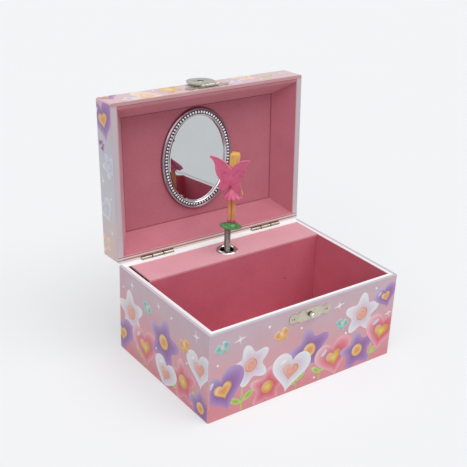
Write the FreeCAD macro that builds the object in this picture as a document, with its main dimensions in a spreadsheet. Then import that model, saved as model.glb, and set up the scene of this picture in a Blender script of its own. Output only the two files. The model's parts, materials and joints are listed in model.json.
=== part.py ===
# Ballerina jewellery box: card box, hinged lid with mirror, wind-up movement and folding dancer.
# Millimetres, +Z up, X along the front, front face at -Y, origin under the middle of the floor.
# The lid is drawn closed and stands open at rest through its placement.
import FreeCAD, Part
import math
import os

doc = FreeCAD.newDocument("ballerina_jewellery_box")
Vector = FreeCAD.Vector
Rotation = FreeCAD.Rotation
Placement = FreeCAD.Placement

# Driving dimensions in millimetres, degrees and counts
SIZES = {
    # Case
    "box_width": 152, "box_depth": 108, "base_height": 62, "lid_height": 20, "lid_gap": 0.4,
    "board": 3, "wrap": 0.4, "liner": 1, "corner_radius": 1, "lid_open": 93,
    "panel_half_x": 61, "panel_half_y": 39.5,
    # Deck over the movement
    "card": 1.2, "deck_top": 61.6, "divider_front": 25, "stop_gap": 2.6, "ledge": 3,
    "eyelet_outer": 8, "eyelet_bore": 4.85, "eyelet_neck": 5.4, "eyelet_rise": 0.95, "eyelet_lip": 0.3,
    "eyelet_clinch": 1, "eyelet_sheet": 0.5,
    # Hinges
    "hinge_back": 0.5, "hinge_rise": 0.2, "hinge_place": 46, "hinge_length": 25, "hinge_end": 8,
    "knuckle_radius": 1.4, "hinge_bore": 0.6, "hinge_pin": 0.56, "leaf_sheet": 0.8, "leaf_depth": 2.2,
    "leaf_inset": 1.2,
    # Catch and hasp
    "catch_height": 54.9, "catch_sheet": 0.6, "catch_nail_place": 13.4, "nail_shank": 0.5, "nail_head": 1.3,
    "plate_bar_x": 8.4, "plate_bar_z": 4.2, "plate_shoulder": 3, "plate_shoulder_place": 9,
    "plate_lobe": 3.4, "knob_radius": 2, "knob_stem": 1, "knob_reach": 1.2,
    "hasp_axis_rise": 3.5, "hasp_axis_out": 1.8, "hasp_knuckle": 1.2, "hasp_pin": 0.46, "hasp_bore": 0.5,
    "hasp_reach": 11, "hasp_disc": 9.8, "hasp_hole": 2.4, "hasp_sheet": 0.8, "hasp_half": 3.7,
    "hasp_plate_rise": 3, "hasp_ear": 3, "hasp_ear_half": 0.6, "hasp_ear_gap": 0.3, "hasp_relief": 1.8,
    # Mirror
    "mirror_place": -3.2, "mirror_rise": 2.4, "mirror_half_x": 28.8, "mirror_half_y": 36.5,
    "mirror_rim": 5.6, "mirror_frame_height": 2.4, "mirror_glass": 1.2, "mirror_play": 0.2,
    # Movement frame
    "bed_left": 24, "bed_right": 28, "bed_low": 4, "bed_high": 56, "bedplate": 2,
    "bearing_sheet": 2, "bearing_front": 3.4, "bearing_rear": 1.8, "lower_bearing": 22.8, "lower_left": 20,
    "lower_right": 3, "lower_leg": 13.5, "upper_bearing": 53, "upper_left": 16, "upper_right": 4,
    "arbor_radius": 1, "bearing_fit": 0.05,
    # Comb and pinned cylinder
    "comb_teeth": 18, "comb_root": 17, "comb_end": 25, "comb_sheet": 0.8, "comb_slot": 0.3, "comb_taper": 3,
    "comb_gap": 1, "drum_radius": 6.5, "drum_low": 34, "drum_length": 16, "drum_pin": 0.22,
    "drum_pin_height": 0.6, "arbor_low": 23, "arbor_length": 35.5, "ferrule_low": 58.5,
    "ferrule_height": 1.5, "lower_stud": 5,
    # Winding train
    "crown_height": 17, "crown_radius": 11.1, "crown_teeth": 32, "crown_face": 2.2, "crown_sheet": 1.2,
    "pinion_radius": 2.75, "pinion_teeth": 8, "key_arbor": 1.5, "key_arbor_start": 3.4,
    "key_arbor_length": 17.4, "key_span": 20, "key_gap": 1.2, "key_hub": 5, "key_bow_start": 4,
    "key_bow_end": 13, "key_half_sheet": 0.8, "key_socket": 3.2, "key_window": 2.6, "key_window_x": 5.6,
    "key_window_y": 8.6, "housing_depth": 5.8, "housing_wall": 0.8, "housing_room": 0.6,
    "mainspring_width": 3.6,
    # Air brake
    "drive_wheel_radius": 9.6, "drive_wheel_teeth": 32, "drive_low": 31, "drive_sheet": 1.2,
    "fan_pinion_radius": 2.4, "fan_pinion_teeth": 8, "fan_pinion_low": 30.8, "fan_pinion_height": 1.6,
    "fan_spread": 12.15, "fan_blade": 4.3, "fan_half_sheet": 0.3, "fan_low": 38, "fan_height": 12,
    "fan_hub": 1.6, "fan_arbor_length": 31.5,
    # Stop lever
    "stop_pivot_x": -40, "stop_pivot_z": 50, "stop_plane": 44, "stop_sheet": 1.2, "stop_half": 1,
    "stop_left": 70.6, "stop_right": 18, "stop_tip": 0.8, "stop_tip_top": 61.6, "stop_pivot_length": 8.4,
    # Dancer's spring and cup
    "dancer_back": 37.6, "spring_wire": 0.7, "spring_radius": 1.85, "spring_low": 60.75,
    "spring_high": 77.05, "spring_curls": 12, "stud_radius": 1, "stud_fit": 0.06, "cup_radius": 2.6,
    "cup_sheet": 0.6, "cup_gap": 0.3, "cup_lower_stud": 3.2, "cup_upper_stud": 2.6,
    # Dancer, whose pieces stand a little to one side of the axis they turn about
    "dancer_turn": -51.5, "figure_way": 16, "leaf_shift": 1.9, "figure_shift": 2.3, "wing_shift": 2,
    "head_shift": 3.2, "leaf_bottom": 78.7, "leaf_half_x": 8, "leaf_half_y": 6.2, "leaf_edge": 2.3,
    "mound_height": 1.6, "mound_radius": 4.6, "mound_top": 3.2, "leaf_bore": 3,
    "neck_rise": 36.5, "neck_radius": 1.3, "hip_radius": 3.1, "skirt_rise": 18.6, "skirt_radius": 7.1,
    "skirt_height": 5, "arm_rise": 30, "arm_out": 2.4, "arm_length": 9.2, "arm_lean": 27,
    "shoulder_radius": 1.3, "wrist_radius": 0.9, "head_radius": 3.6, "head_height": 14,
    "wing_rise": 24.2, "wing_back": 3.6, "wing_sheet": 0.9, "wing_sweep": 16,
    "wing_root": 0.6, "wing_root_back": 4.2, "wing_root_length": 1.33,
}

dims = doc.addObject("Spreadsheet::Sheet", "dims")
for row, (alias, value) in enumerate(SIZES.items(), start=1):
    dims.set(f"A{row}", alias)
    dims.set(f"B{row}", str(value))
    dims.setAlias(f"B{row}", alias)
doc.recompute()


def size(alias):
    """One driving dimension, read back from the sheet."""
    return float(dims.get(alias))


def bound(text):
    """An expression in which every driving dimension is looked up in the sheet."""
    words = text.replace("(", " ( ").replace(")", " ) ").split()
    return " ".join(f"dims.{word}" if word in SIZES else word for word in words)


# Stations that several pieces share, as expressions
HALF_X = "box_width / 2"
HALF_Y = "box_depth / 2"
BOARD_X = "( box_width / 2 - wrap )"
BOARD_Y = "( box_depth / 2 - wrap )"
INSIDE_X = "( box_width / 2 - wrap - board )"
INSIDE_Y = "( box_depth / 2 - wrap - board )"
CLEAR_X = "( box_width / 2 - wrap - board - liner )"
CLEAR_Y = "( box_depth / 2 - wrap - board - liner )"
RIM_LOW = "( base_height - wrap )"
LID_LOW = "( base_height + lid_gap )"
LID_BOARD_LOW = "( base_height + lid_gap + wrap )"
LID_TOP = "( base_height + lid_gap + lid_height )"
LID_CEILING = "( base_height + lid_gap + lid_height - wrap - board )"
HINGE_Y = "( box_depth / 2 + hinge_back )"
HINGE_Z = "( base_height + hinge_rise )"
HASP_Y = "( - box_depth / 2 - hasp_axis_out )"
HASP_Z = "( base_height + lid_gap + hasp_axis_rise )"
PLATE_FRONT = "( box_depth / 2 - wrap - board - bedplate )"

# Clearances that are not driving dimensions
SLACK = 0.4
HINGE_GAP = 0.3
NAIL_FIT = 0.02
OVERSHOOT = 1

SIDES = (("left", "-"), ("right", ""))
ALONG_X = Rotation(Vector(0, 1, 0), 90)
ALONG_Y = Rotation(Vector(1, 0, 0), -90)
UPRIGHT = Rotation()

hinge_axis = Vector(0, size("box_depth") / 2 + size("hinge_back"), size("base_height") + size("hinge_rise"))
LID_POSE = Placement(Vector(0, 0, 0), Rotation(Vector(1, 0, 0), -size("lid_open")), hinge_axis)
dancer_axis = Vector(0, size("dancer_back"), 0)
SPINDLE_POSE = Placement(dancer_axis, UPRIGHT)
DANCER_POSE = Placement(dancer_axis, Rotation(Vector(0, 0, 1), size("dancer_turn")))


def aside(shift):
    """A point beside the dancer's axis, in the dancer's own frame."""
    way = math.radians(size("figure_way"))
    return Vector(size(shift) * math.cos(way), size(shift) * math.sin(way), 0)


def dancer_pose(shift):
    """The dancer's placement, moved beside its axis by a named shift."""
    return DANCER_POSE.multiply(Placement(aside(shift), UPRIGHT))


nodes = []


def new_body(label, pose=None):
    """An empty body that becomes one sub-part of the box."""
    body = doc.addObject("PartDesign::Body", label)
    body.Label = label
    if pose is not None:
        body.Placement = pose
    nodes.append(body)
    return body


def add(body, kind, name, sizes, at, turn=UPRIGHT):
    """A primitive inside a body, its sizes and place bound to the sheet."""
    feature = body.newObject(f"PartDesign::{kind}", f"{body.Label}_{name}")
    feature.Placement = Placement(Vector(0, 0, 0), turn)
    for key, text in sizes.items():
        feature.setExpression(key, bound(text))
    for key, text in zip("xyz", at):
        feature.setExpression(f"Placement.Base.{key}", bound(text))
    return feature


def block(body, name, x, y, z, cut=False):
    """A box between pairs of expressions, added or cut away."""
    spans = zip(("Length", "Width", "Height"), (x, y, z))
    sides = {key: f"( {high} ) - ( {low} )" for key, (low, high) in spans}
    kind = "SubtractiveBox" if cut else "AdditiveBox"
    return add(body, kind, name, sides, (x[0], y[0], z[0]))


def rod(body, name, radius, length, at, turn=UPRIGHT, cut=False):
    """A round rod that starts at a point and runs along the turned Z, added or cut away."""
    kind = "SubtractiveCylinder" if cut else "AdditiveCylinder"
    return add(body, kind, name, {"Radius": radius, "Height": length}, at, turn)


def bore_y(body, name, radius, x, y, z):
    """A round hole along Y between a pair of expressions."""
    return rod(body, name, radius, f"( {y[1]} ) - ( {y[0]} )", (x, y[0], z), ALONG_Y, cut=True)


def board_piece(label, x, y, z, pose=None):
    """A sub-part that starts as one plain box."""
    body = new_body(label, pose)
    block(body, "blank", x, y, z)
    return body


def plane(body, role):
    """One of a body's own origin planes or axes."""
    return next(item for item in body.Origin.OriginFeatures if item.Role == role)


def sketch(body, name, role, geometry, offset=0, turn=0):
    """A sketch on an origin plane, moved along the plane's normal and turned about it."""
    drawing = body.newObject("Sketcher::SketchObject", f"{body.Label}_{name}")
    drawing.AttachmentSupport = [(plane(body, role), "")]
    drawing.MapMode = "FlatFace"
    drawing.AttachmentOffset = Placement(Vector(0, 0, offset), Rotation(Vector(0, 0, 1), turn))
    for item in geometry:
        drawing.addGeometry(item, False)
    return drawing


def outline(points):
    """Straight edges round a closed list of 2-D points."""
    corners = [Vector(x, y, 0) for x, y in points]
    return [Part.LineSegment(a, b) for a, b in zip(corners, corners[1:] + corners[:1])]


def pad(body, name, drawing, length):
    """A sketch padded along its normal by a bound length."""
    feature = body.newObject("PartDesign::Pad", f"{body.Label}_{name}")
    feature.Profile = drawing
    feature.setExpression("Length", bound(length))
    drawing.Visibility = False
    return feature


def turned(body, name, geometry):
    """A half section in the XZ plane, turned about the body's own Z axis."""
    drawing = sketch(body, f"{name}_section", "XZ_Plane", geometry)
    feature = body.newObject("PartDesign::Revolution", f"{body.Label}_{name}")
    feature.Profile = drawing
    feature.ReferenceAxis = (plane(body, "Z_Axis"), [""])
    feature.Angle = 360
    return feature


def round_outer_corners(body, top=None):
    """Rounds a wrapped box's standing corners and, where a top is given, the edges at that height."""
    doc.recompute()
    names = []
    for number, edge in enumerate(body.Shape.Edges, start=1):
        start, end = (body.Placement.inverse().multVec(vertex.Point) for vertex in edge.Vertexes)
        standing = math.hypot(end.x - start.x, end.y - start.y) < 1e-6
        at_top = top is not None and max(abs(start.z - top), abs(end.z - top)) < 1e-6
        if standing or at_top:
            names.append(f"Edge{number}")
    solid = body.Tip
    feature = body.newObject("PartDesign::Fillet", f"{body.Label}_corners")
    feature.Base = (solid, names)
    feature.setExpression("Radius", bound("corner_radius"))
    doc.recompute()


# Hinge places in a rear wall: grooves for the barrels, and pockets for the leaves under the rim paper
def knuckle_grooves(body):
    for side, sign in SIDES:
        start = f"{sign} hinge_place - hinge_length / 2 - {SLACK}"
        rod(body, f"knuckle_groove_{side}", f"knuckle_radius + {SLACK}", f"hinge_length + {2 * SLACK}",
            (start, HINGE_Y, HINGE_Z), ALONG_X, cut=True)


def leaf_pockets(body, z):
    for side, sign in SIDES:
        middle = f"{sign} hinge_place"
        ends = (f"{middle} - hinge_length / 2 - {SLACK}", f"{middle} + hinge_length / 2 + {SLACK}")
        depth = (f"{HALF_Y} - leaf_inset - leaf_depth - {SLACK / 2}", f"{HALF_Y} + {OVERSHOOT}")
        block(body, f"leaf_pocket_{side}", ends, depth, z, cut=True)


BASE_LEAF = (f"{RIM_LOW} - leaf_sheet", RIM_LOW)
LID_LEAF = (LID_BOARD_LOW, f"{LID_BOARD_LOW} + leaf_sheet")
BASE_POCKET = (f"{RIM_LOW} - leaf_sheet - {SLACK / 2}", f"{RIM_LOW} + {OVERSHOOT}")
LID_POCKET = (f"{LID_BOARD_LOW} - {OVERSHOOT}", f"{LID_BOARD_LOW} + leaf_sheet + {SLACK / 2}")


def catch_holes(body, y):
    """Holes for the catch's nails and for the stem of its knob."""
    bore_y(body, "hole_stem", "knob_stem", "0", y, "catch_height")
    for side, sign in SIDES:
        bore_y(body, f"hole_nail_{side}", "nail_shank", f"{sign} catch_nail_place", y, "catch_height")


def key_hole(body, y):
    """The winding key's hole in a layer of the rear wall."""
    bore_y(body, "key_hole", "key_arbor * 2", "0", y, "crown_height")


# Base box: floor, four walls, printed wrap and the turned-over rim
outer_x, outer_y = (f"- {HALF_X}", HALF_X), (f"- {HALF_Y}", HALF_Y)
board_x, board_y = (f"- {BOARD_X}", BOARD_X), (f"- {BOARD_Y}", BOARD_Y)
inside_x, inside_y = (f"- {INSIDE_X}", INSIDE_X), (f"- {INSIDE_Y}", INSIDE_Y)
clear_x, clear_y = (f"- {CLEAR_X}", CLEAR_X), (f"- {CLEAR_Y}", CLEAR_Y)
front_y, rear_y = (f"- {BOARD_Y}", f"- {INSIDE_Y}"), (INSIDE_Y, BOARD_Y)
left_x, right_x = (f"- {BOARD_X}", f"- {INSIDE_X}"), (INSIDE_X, BOARD_X)
wall_z = ("board", RIM_LOW)
board_piece("base_floor_board", board_x, board_y, ("0", "board"))
front = board_piece("base_front_board", board_x, front_y, wall_z)
catch_holes(front, (f"- {HALF_Y}", f"- {INSIDE_Y} + {OVERSHOOT}"))
rear = board_piece("base_rear_board", board_x, rear_y, wall_z)
knuckle_grooves(rear)
leaf_pockets(rear, BASE_POCKET)
key_hole(rear, (f"{INSIDE_Y} - {OVERSHOOT}", HALF_Y))
bore_y(rear, "stop_pivot_hole", "arbor_radius + bearing_fit", "stop_pivot_x",
       (f"{INSIDE_Y} - {OVERSHOOT}", f"{INSIDE_Y} - {OVERSHOOT} + board"), "stop_pivot_z")
board_piece("base_left_board", left_x, inside_y, wall_z)
board_piece("base_right_board", right_x, inside_y, wall_z)

base_wrap = board_piece("base_print_wrap", outer_x, outer_y, ("0", RIM_LOW))
round_outer_corners(base_wrap)
block(base_wrap, "hollow", board_x, board_y, (f"- {OVERSHOOT}", "base_height"), cut=True)
knuckle_grooves(base_wrap)
key_hole(base_wrap, (INSIDE_Y, f"{HALF_Y} + {OVERSHOOT}"))
catch_holes(base_wrap, (f"- {HALF_Y} - {OVERSHOOT}", f"- {INSIDE_Y}"))

base_rim = board_piece("base_rim_band", outer_x, outer_y, (RIM_LOW, "base_height"))
round_outer_corners(base_rim)
block(base_rim, "hollow", clear_x, clear_y, ("0", f"base_height + {OVERSHOOT}"), cut=True)
knuckle_grooves(base_rim)

# Tray lining, and the card deck and divider that cover the movement
board_piece("tray_floor_liner", clear_x, (f"- {CLEAR_Y}", "divider_front + card"), ("board", "board + liner"))
tray_walls = board_piece("tray_wall_liner", inside_x, inside_y, wall_z)
block(tray_walls, "hollow", clear_x, (f"- {CLEAR_Y}", HALF_Y), ("0", "base_height"), cut=True)

deck = board_piece("mechanism_deck", (f"- {CLEAR_X} + stop_gap", f"{CLEAR_X} - {SLACK / 2}"),
                   ("divider_front", f"{INSIDE_Y} - {SLACK / 4}"), ("deck_top - card", "deck_top"))
rod(deck, "eyelet_hole", "eyelet_neck", "card * 3", ("0", "dancer_back", "deck_top - card * 2"), cut=True)
board_piece("mechanism_divider", (f"- {CLEAR_X} + {SLACK / 2}", f"{CLEAR_X} - {SLACK / 2}"),
            ("divider_front", "divider_front + card"), ("board + liner", "deck_top - card"))
board_piece("deck_ledge", (f"- {CLEAR_X} + 2 * stop_gap", f"{CLEAR_X} - {SLACK}"),
            (f"{INSIDE_Y} - ledge", INSIDE_Y), ("deck_top - card - ledge", "deck_top - card"))

eyelet = new_body("deck_eyelet", Placement(dancer_axis + Vector(0, 0, size("deck_top")), UPRIGHT))
bore, neck, brim = size("eyelet_bore"), size("eyelet_neck"), size("eyelet_outer")
under, foot = -size("card"), -size("card") - size("eyelet_sheet")
clinch = neck + size("eyelet_clinch")
lip = Vector(bore, size("eyelet_lip"), 0)
crest = Vector((bore + brim) / 2, size("eyelet_rise"), 0)
corners = [lip] + [Vector(x, z, 0) for x, z in (
    (bore, foot), (clinch, foot), (clinch, under), (neck, under), (neck, 0), (brim, 0))]
edges = [Part.LineSegment(a, b) for a, b in zip(corners, corners[1:])]
turned(eyelet, "ring", edges + [Part.Arc(corners[-1], crest, lip)])

# Two butt hinges, their leaves under the rim paper and their pins in the base
for side, sign in SIDES:
    low_end = f"{sign} hinge_place - hinge_length / 2"
    high_end = f"{sign} hinge_place + hinge_length / 2"
    leaf_y = (f"{HALF_Y} - leaf_inset - leaf_depth", f"{HALF_Y} - leaf_inset")
    tab_y = (leaf_y[1], HINGE_Y)
    leaf = board_piece(f"hinge_base_leaf_{side}", (low_end, high_end), leaf_y, BASE_LEAF)
    for name, start in (("low", low_end), ("high", f"{high_end} - hinge_end")):
        block(leaf, f"tab_{name}", (start, f"{start} + hinge_end"), tab_y, BASE_LEAF)
        rod(leaf, f"knuckle_{name}", "knuckle_radius", "hinge_end", (start, HINGE_Y, HINGE_Z), ALONG_X)
    rod(leaf, "bore", "hinge_bore", "hinge_length", (low_end, HINGE_Y, HINGE_Z), ALONG_X, cut=True)
    pin = new_body(f"hinge_pin_{side}")
    rod(pin, "pin", "hinge_pin", "hinge_length", (low_end, HINGE_Y, HINGE_Z), ALONG_X)
    inner = (f"{low_end} + hinge_end + {HINGE_GAP}", f"{high_end} - hinge_end - {HINGE_GAP}")
    lid_leaf = board_piece(f"hinge_lid_leaf_{side}", (low_end, high_end), leaf_y, LID_LEAF, LID_POSE)
    block(lid_leaf, "tab", inner, tab_y, LID_LEAF)
    rod(lid_leaf, "knuckle", "knuckle_radius", f"( {inner[1]} ) - ( {inner[0]} )",
        (inner[0], HINGE_Y, HINGE_Z), ALONG_X)
    rod(lid_leaf, "bore", "hinge_bore", "hinge_length", (low_end, HINGE_Y, HINGE_Z), ALONG_X, cut=True)


# Sheet plate with lobed ends, shared by the catch and the hasp, upright against a front wall
def lobed_plate(body, y, height):
    block(body, "bar", ("- plate_bar_x", "plate_bar_x"), (y, f"{y} + catch_sheet"),
          (f"{height} - plate_bar_z", f"{height} + plate_bar_z"))
    for side, sign in SIDES:
        shoulder, lobe = (f"{sign} plate_shoulder_place", y, height), (f"{sign} catch_nail_place", y, height)
        rod(body, f"shoulder_{side}", "plate_shoulder", "catch_sheet", shoulder, ALONG_Y)
        rod(body, f"lobe_{side}", "plate_lobe", "catch_sheet", lobe, ALONG_Y)


# Catch on the front of the base
catch_y = f"( - {HALF_Y} - catch_sheet )"
catch = new_body("catch_plate")
lobed_plate(catch, catch_y, "catch_height")
catch_holes(catch, (f"{catch_y} - {OVERSHOOT}", f"- {HALF_Y} + {OVERSHOOT}"))
knob = new_body("catch_knob")
rod(knob, "stem", f"knob_stem - {NAIL_FIT}", "board + catch_sheet + knob_reach",
    ("0", f"{catch_y} - knob_reach", "catch_height"), ALONG_Y)
add(knob, "AdditiveSphere", "ball", {"Radius": "knob_radius"},
    ("0", f"{catch_y} - knob_radius", "catch_height"))
for side, sign in SIDES:
    nail = new_body(f"catch_nail_{side}")
    place = f"{sign} catch_nail_place"
    rod(nail, "shank", f"nail_shank - {NAIL_FIT}", "board", (place, catch_y, "catch_height"), ALONG_Y)
    rod(nail, "head", "nail_head", "catch_sheet",
        (place, f"{catch_y} - catch_sheet", "catch_height"), ALONG_Y)

# Lid: top, four walls, printed wrap and rim
lid_z = (LID_BOARD_LOW, LID_CEILING)
board_piece("lid_top_board", board_x, board_y, (LID_CEILING, f"{LID_TOP} - wrap"), LID_POSE)
board_piece("lid_front_board", board_x, front_y, lid_z, LID_POSE)
lid_rear = board_piece("lid_rear_board", board_x, rear_y, lid_z, LID_POSE)
knuckle_grooves(lid_rear)
leaf_pockets(lid_rear, LID_POCKET)
board_piece("lid_left_board", left_x, inside_y, lid_z, LID_POSE)
board_piece("lid_right_board", right_x, inside_y, lid_z, LID_POSE)

lid_wrap = board_piece("lid_print_wrap", outer_x, outer_y, (LID_BOARD_LOW, LID_TOP), LID_POSE)
round_outer_corners(lid_wrap, top=size("base_height") + size("lid_gap") + size("lid_height"))
block(lid_wrap, "hollow", board_x, board_y, ("0", f"{LID_TOP} - wrap"), cut=True)
knuckle_grooves(lid_wrap)

lid_rim = board_piece("lid_rim_band", outer_x, outer_y, (LID_LOW, LID_BOARD_LOW), LID_POSE)
round_outer_corners(lid_rim)
block(lid_rim, "hollow", clear_x, clear_y, ("0", LID_TOP), cut=True)
knuckle_grooves(lid_rim)


# Tapered lining of the lid, from its rim in to the back panel
def taper(body, kind, name, thickness, low, high):
    wall = size("wrap") + size("board") + size("liner")
    halves = {
        "rim": (size("box_width") / 2 - wall + thickness, size("box_depth") / 2 - wall + thickness, low),
        "panel": (size("panel_half_x") + thickness, size("panel_half_y") + thickness, high),
    }
    sections = []
    for level, (x, y, height) in halves.items():
        rectangle = outline([(-x, -y), (x, -y), (x, y), (-x, y)])
        sections.append(sketch(body, f"{name}_{level}", "XY_Plane", rectangle, height))
    feature = body.newObject(f"PartDesign::{kind}", f"{body.Label}_{name}")
    feature.Profile = sections[0]
    feature.Sections = sections[1:]
    feature.Ruled = True


liner_low = size("base_height") + size("lid_gap") + size("wrap")
panel_face = liner_low + size("lid_height") - 2 * size("wrap") - size("board") - size("liner")
slope = new_body("lid_sloped_liner", LID_POSE)
taper(slope, "AdditiveLoft", "outer", size("liner"), liner_low, panel_face)
doc.recompute()
taper(slope, "SubtractiveLoft", "inner", 0, liner_low, panel_face)
panel_x = ("- panel_half_x - liner", "panel_half_x + liner")
panel_y = ("- panel_half_y - liner", "panel_half_y + liner")
board_piece("lid_panel", panel_x, panel_y, (f"{LID_CEILING} - liner", LID_CEILING), LID_POSE)


# Oval mirror and its frame on the lid's panel
def oval(inset):
    """The mirror's outline, drawn in by an inset."""
    middle = Vector(size("mirror_place"), -size("mirror_rise"), 0)
    half_x, half_y = size("mirror_half_x") - inset, size("mirror_half_y") - inset
    return Part.Ellipse(middle + Vector(0, half_y, 0), middle - Vector(half_x, 0, 0), middle)


rim = size("mirror_rim")
mirror_frame = new_body("mirror_frame", LID_POSE)
frame_low = panel_face - size("mirror_frame_height")
ring = sketch(mirror_frame, "oval", "XY_Plane", [oval(0), oval(rim)], frame_low)
pad(mirror_frame, "ring", ring, "mirror_frame_height")
mirror_glass = new_body("mirror_glass", LID_POSE)
glass_low = panel_face - size("mirror_glass")
pane = sketch(mirror_glass, "oval", "XY_Plane", [oval(rim + size("mirror_play"))], glass_low)
pad(mirror_glass, "pane", pane, "mirror_glass")

# Hasp on the lid: plate with fixed pin, and the flap that swings over the knob
hasp_plate = new_body("hasp_plate", LID_POSE)
lobed_plate(hasp_plate, catch_y, f"{HASP_Z} + hasp_plate_rise")
ear_z = (f"{HASP_Z} - hasp_ear_half", f"{HASP_Z} + hasp_ear_half")
ear_starts = {"left": "- hasp_half - hasp_ear_gap - hasp_ear", "right": "hasp_half + hasp_ear_gap"}
for side, start in ear_starts.items():
    block(hasp_plate, f"ear_{side}", (start, f"{start} + hasp_ear"), (HASP_Y, f"- {HALF_Y}"), ear_z)
    rod(hasp_plate, f"knuckle_{side}", "hasp_knuckle", "hasp_ear", (start, HASP_Y, HASP_Z), ALONG_X)
rod(hasp_plate, "pin", "hasp_pin", "2 * hasp_half + hasp_ear",
    ("- hasp_half - hasp_ear / 2", HASP_Y, HASP_Z), ALONG_X)

hasp = new_body("hasp_flap", LID_POSE)
flap_y = f"{HASP_Y} - hasp_sheet / 2"
disc_z = f"{HASP_Z} + hasp_reach"
block(hasp, "neck", ("- hasp_half", "hasp_half"), (flap_y, f"{flap_y} + hasp_sheet"),
      (HASP_Z, f"{HASP_Z} + hasp_reach / 2"))
rod(hasp, "knuckle", "hasp_knuckle", "2 * hasp_half", ("- hasp_half", HASP_Y, HASP_Z), ALONG_X)
rod(hasp, "disc", "hasp_disc", "hasp_sheet", ("0", flap_y, disc_z), ALONG_Y)
bore_y(hasp, "hole", "hasp_hole", "0", (f"{flap_y} - hasp_sheet", f"{flap_y} + 2 * hasp_sheet"), disc_z)
rod(hasp, "bore", "hasp_bore", f"2 * hasp_half + {2 * OVERSHOOT}",
    (f"- hasp_half - {OVERSHOOT}", HASP_Y, HASP_Z), ALONG_X, cut=True)
relief_y = (f"{flap_y} - {OVERSHOOT}", f"{flap_y} + hasp_sheet + {OVERSHOOT}")
relief_z = (f"{HASP_Z} - hasp_relief", f"{HASP_Z} + hasp_relief")
for side, x in (("left", ("- hasp_disc", "- hasp_half")), ("right", ("hasp_half", "hasp_disc"))):
    block(hasp, f"relief_{side}", x, relief_y, relief_z, cut=True)

# Movement frame: bedplate on the rear wall, two bearing plates, comb and spring housing
plate = board_piece("movement_bedplate", ("- bed_left", "bed_right"), (PLATE_FRONT, INSIDE_Y),
                    ("bed_low", "bed_high"))
bore_y(plate, "key_bearing", "key_arbor + bearing_fit", "0",
       (f"{PLATE_FRONT} - {OVERSHOOT}", f"{INSIDE_Y} + {OVERSHOOT}"), "crown_height")
lower_z = ("lower_bearing", "lower_bearing + bearing_sheet")
upper_z = ("upper_bearing", "upper_bearing + bearing_sheet")
bearing_front = "dancer_back - bearing_front"
lower = board_piece("lower_bearing_plate", ("- lower_left", "lower_right"),
                    (bearing_front, "dancer_back + bearing_rear"), lower_z)
block(lower, "leg", ("- lower_left", "- lower_leg"), (bearing_front, PLATE_FRONT), lower_z)
upper = board_piece("upper_bearing_plate", ("- upper_left", "upper_right"),
                    (bearing_front, PLATE_FRONT), upper_z)
for bearing_plate, low in ((lower, "lower_bearing"), (upper, "upper_bearing")):
    for name, x in (("cylinder", "0"), ("fan", "- fan_spread")):
        rod(bearing_plate, f"{name}_bearing", "arbor_radius + bearing_fit",
            f"bearing_sheet + {2 * OVERSHOOT}", (x, "dancer_back", f"{low} - {OVERSHOOT}"), cut=True)
board_piece("comb_base", ("comb_root", "comb_end"), ("dancer_back + comb_sheet / 2", PLATE_FRONT),
            ("drum_low", "drum_low + drum_length"))

comb = new_body("music_comb")
comb_teeth = int(size("comb_teeth"))
comb_low, comb_high = size("drum_low"), size("drum_low") + size("drum_length")
comb_pitch = size("drum_length") / comb_teeth
comb_tip = size("drum_radius") + size("comb_gap")
comb_points = [(size("comb_end"), comb_low), (size("comb_end"), comb_high)]
for tooth in reversed(range(comb_teeth)):
    root = size("comb_root") - size("comb_taper") * tooth / comb_teeth
    top = comb_low + (tooth + 1) * comb_pitch - size("comb_slot") / 2
    low = comb_low + tooth * comb_pitch + size("comb_slot") / 2
    comb_points += [(root, top), (comb_tip, top), (comb_tip, low), (root, low)]
comb_plane = -size("dancer_back") - size("comb_sheet") / 2
pad(comb, "sheet", sketch(comb, "outline", "XZ_Plane", outline(comb_points), comb_plane), "comb_sheet")

housing = new_body("spring_housing")
housing_front = f"{PLATE_FRONT} - housing_depth"
housing_inner = "crown_radius + housing_room"
rod(housing, "cup", f"{housing_inner} + housing_wall", "housing_depth",
    ("0", housing_front, "crown_height"), ALONG_Y)
rod(housing, "hollow", housing_inner, "housing_depth",
    ("0", f"{housing_front} + housing_wall", "crown_height"), ALONG_Y, cut=True)
bore_y(housing, "arbor_hole", "key_arbor + bearing_fit", "0",
       (f"{housing_front} - {OVERSHOOT}", PLATE_FRONT), "crown_height")
mainspring = new_body("mainspring")
mainspring_y = f"{housing_front} + housing_wall + housing_room"
rod(mainspring, "pack", "crown_radius", "mainspring_width", ("0", mainspring_y, "crown_height"), ALONG_Y)
bore_y(mainspring, "middle", "key_arbor * 2", "0", (housing_front, PLATE_FRONT), "crown_height")


# Toothed outline for the flat wheels
def gear_points(teeth, pitch_radius, addendum, dedendum, root_width, tip_width):
    root, tip = pitch_radius - dedendum, pitch_radius + addendum
    flank = ((root, -root_width / 2), (tip, -tip_width / 2), (tip, tip_width / 2), (root, root_width / 2))
    points = []
    for tooth in range(int(teeth)):
        angle = 2 * math.pi * tooth / teeth
        for radius, half in flank:
            x = math.sqrt(radius * radius - half * half)
            turned_x = x * math.cos(angle) - half * math.sin(angle)
            turned_y = x * math.sin(angle) + half * math.cos(angle)
            points.append((turned_x, turned_y))
    return points


# Tooth sizes: addendum, dedendum, width at the root and width at the tip
WINDING_TEETH = (0.5, 0.65, 0.9, 0.5)
BRAKE_TEETH = (0.4, 0.6, 0.8, 0.45)

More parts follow.
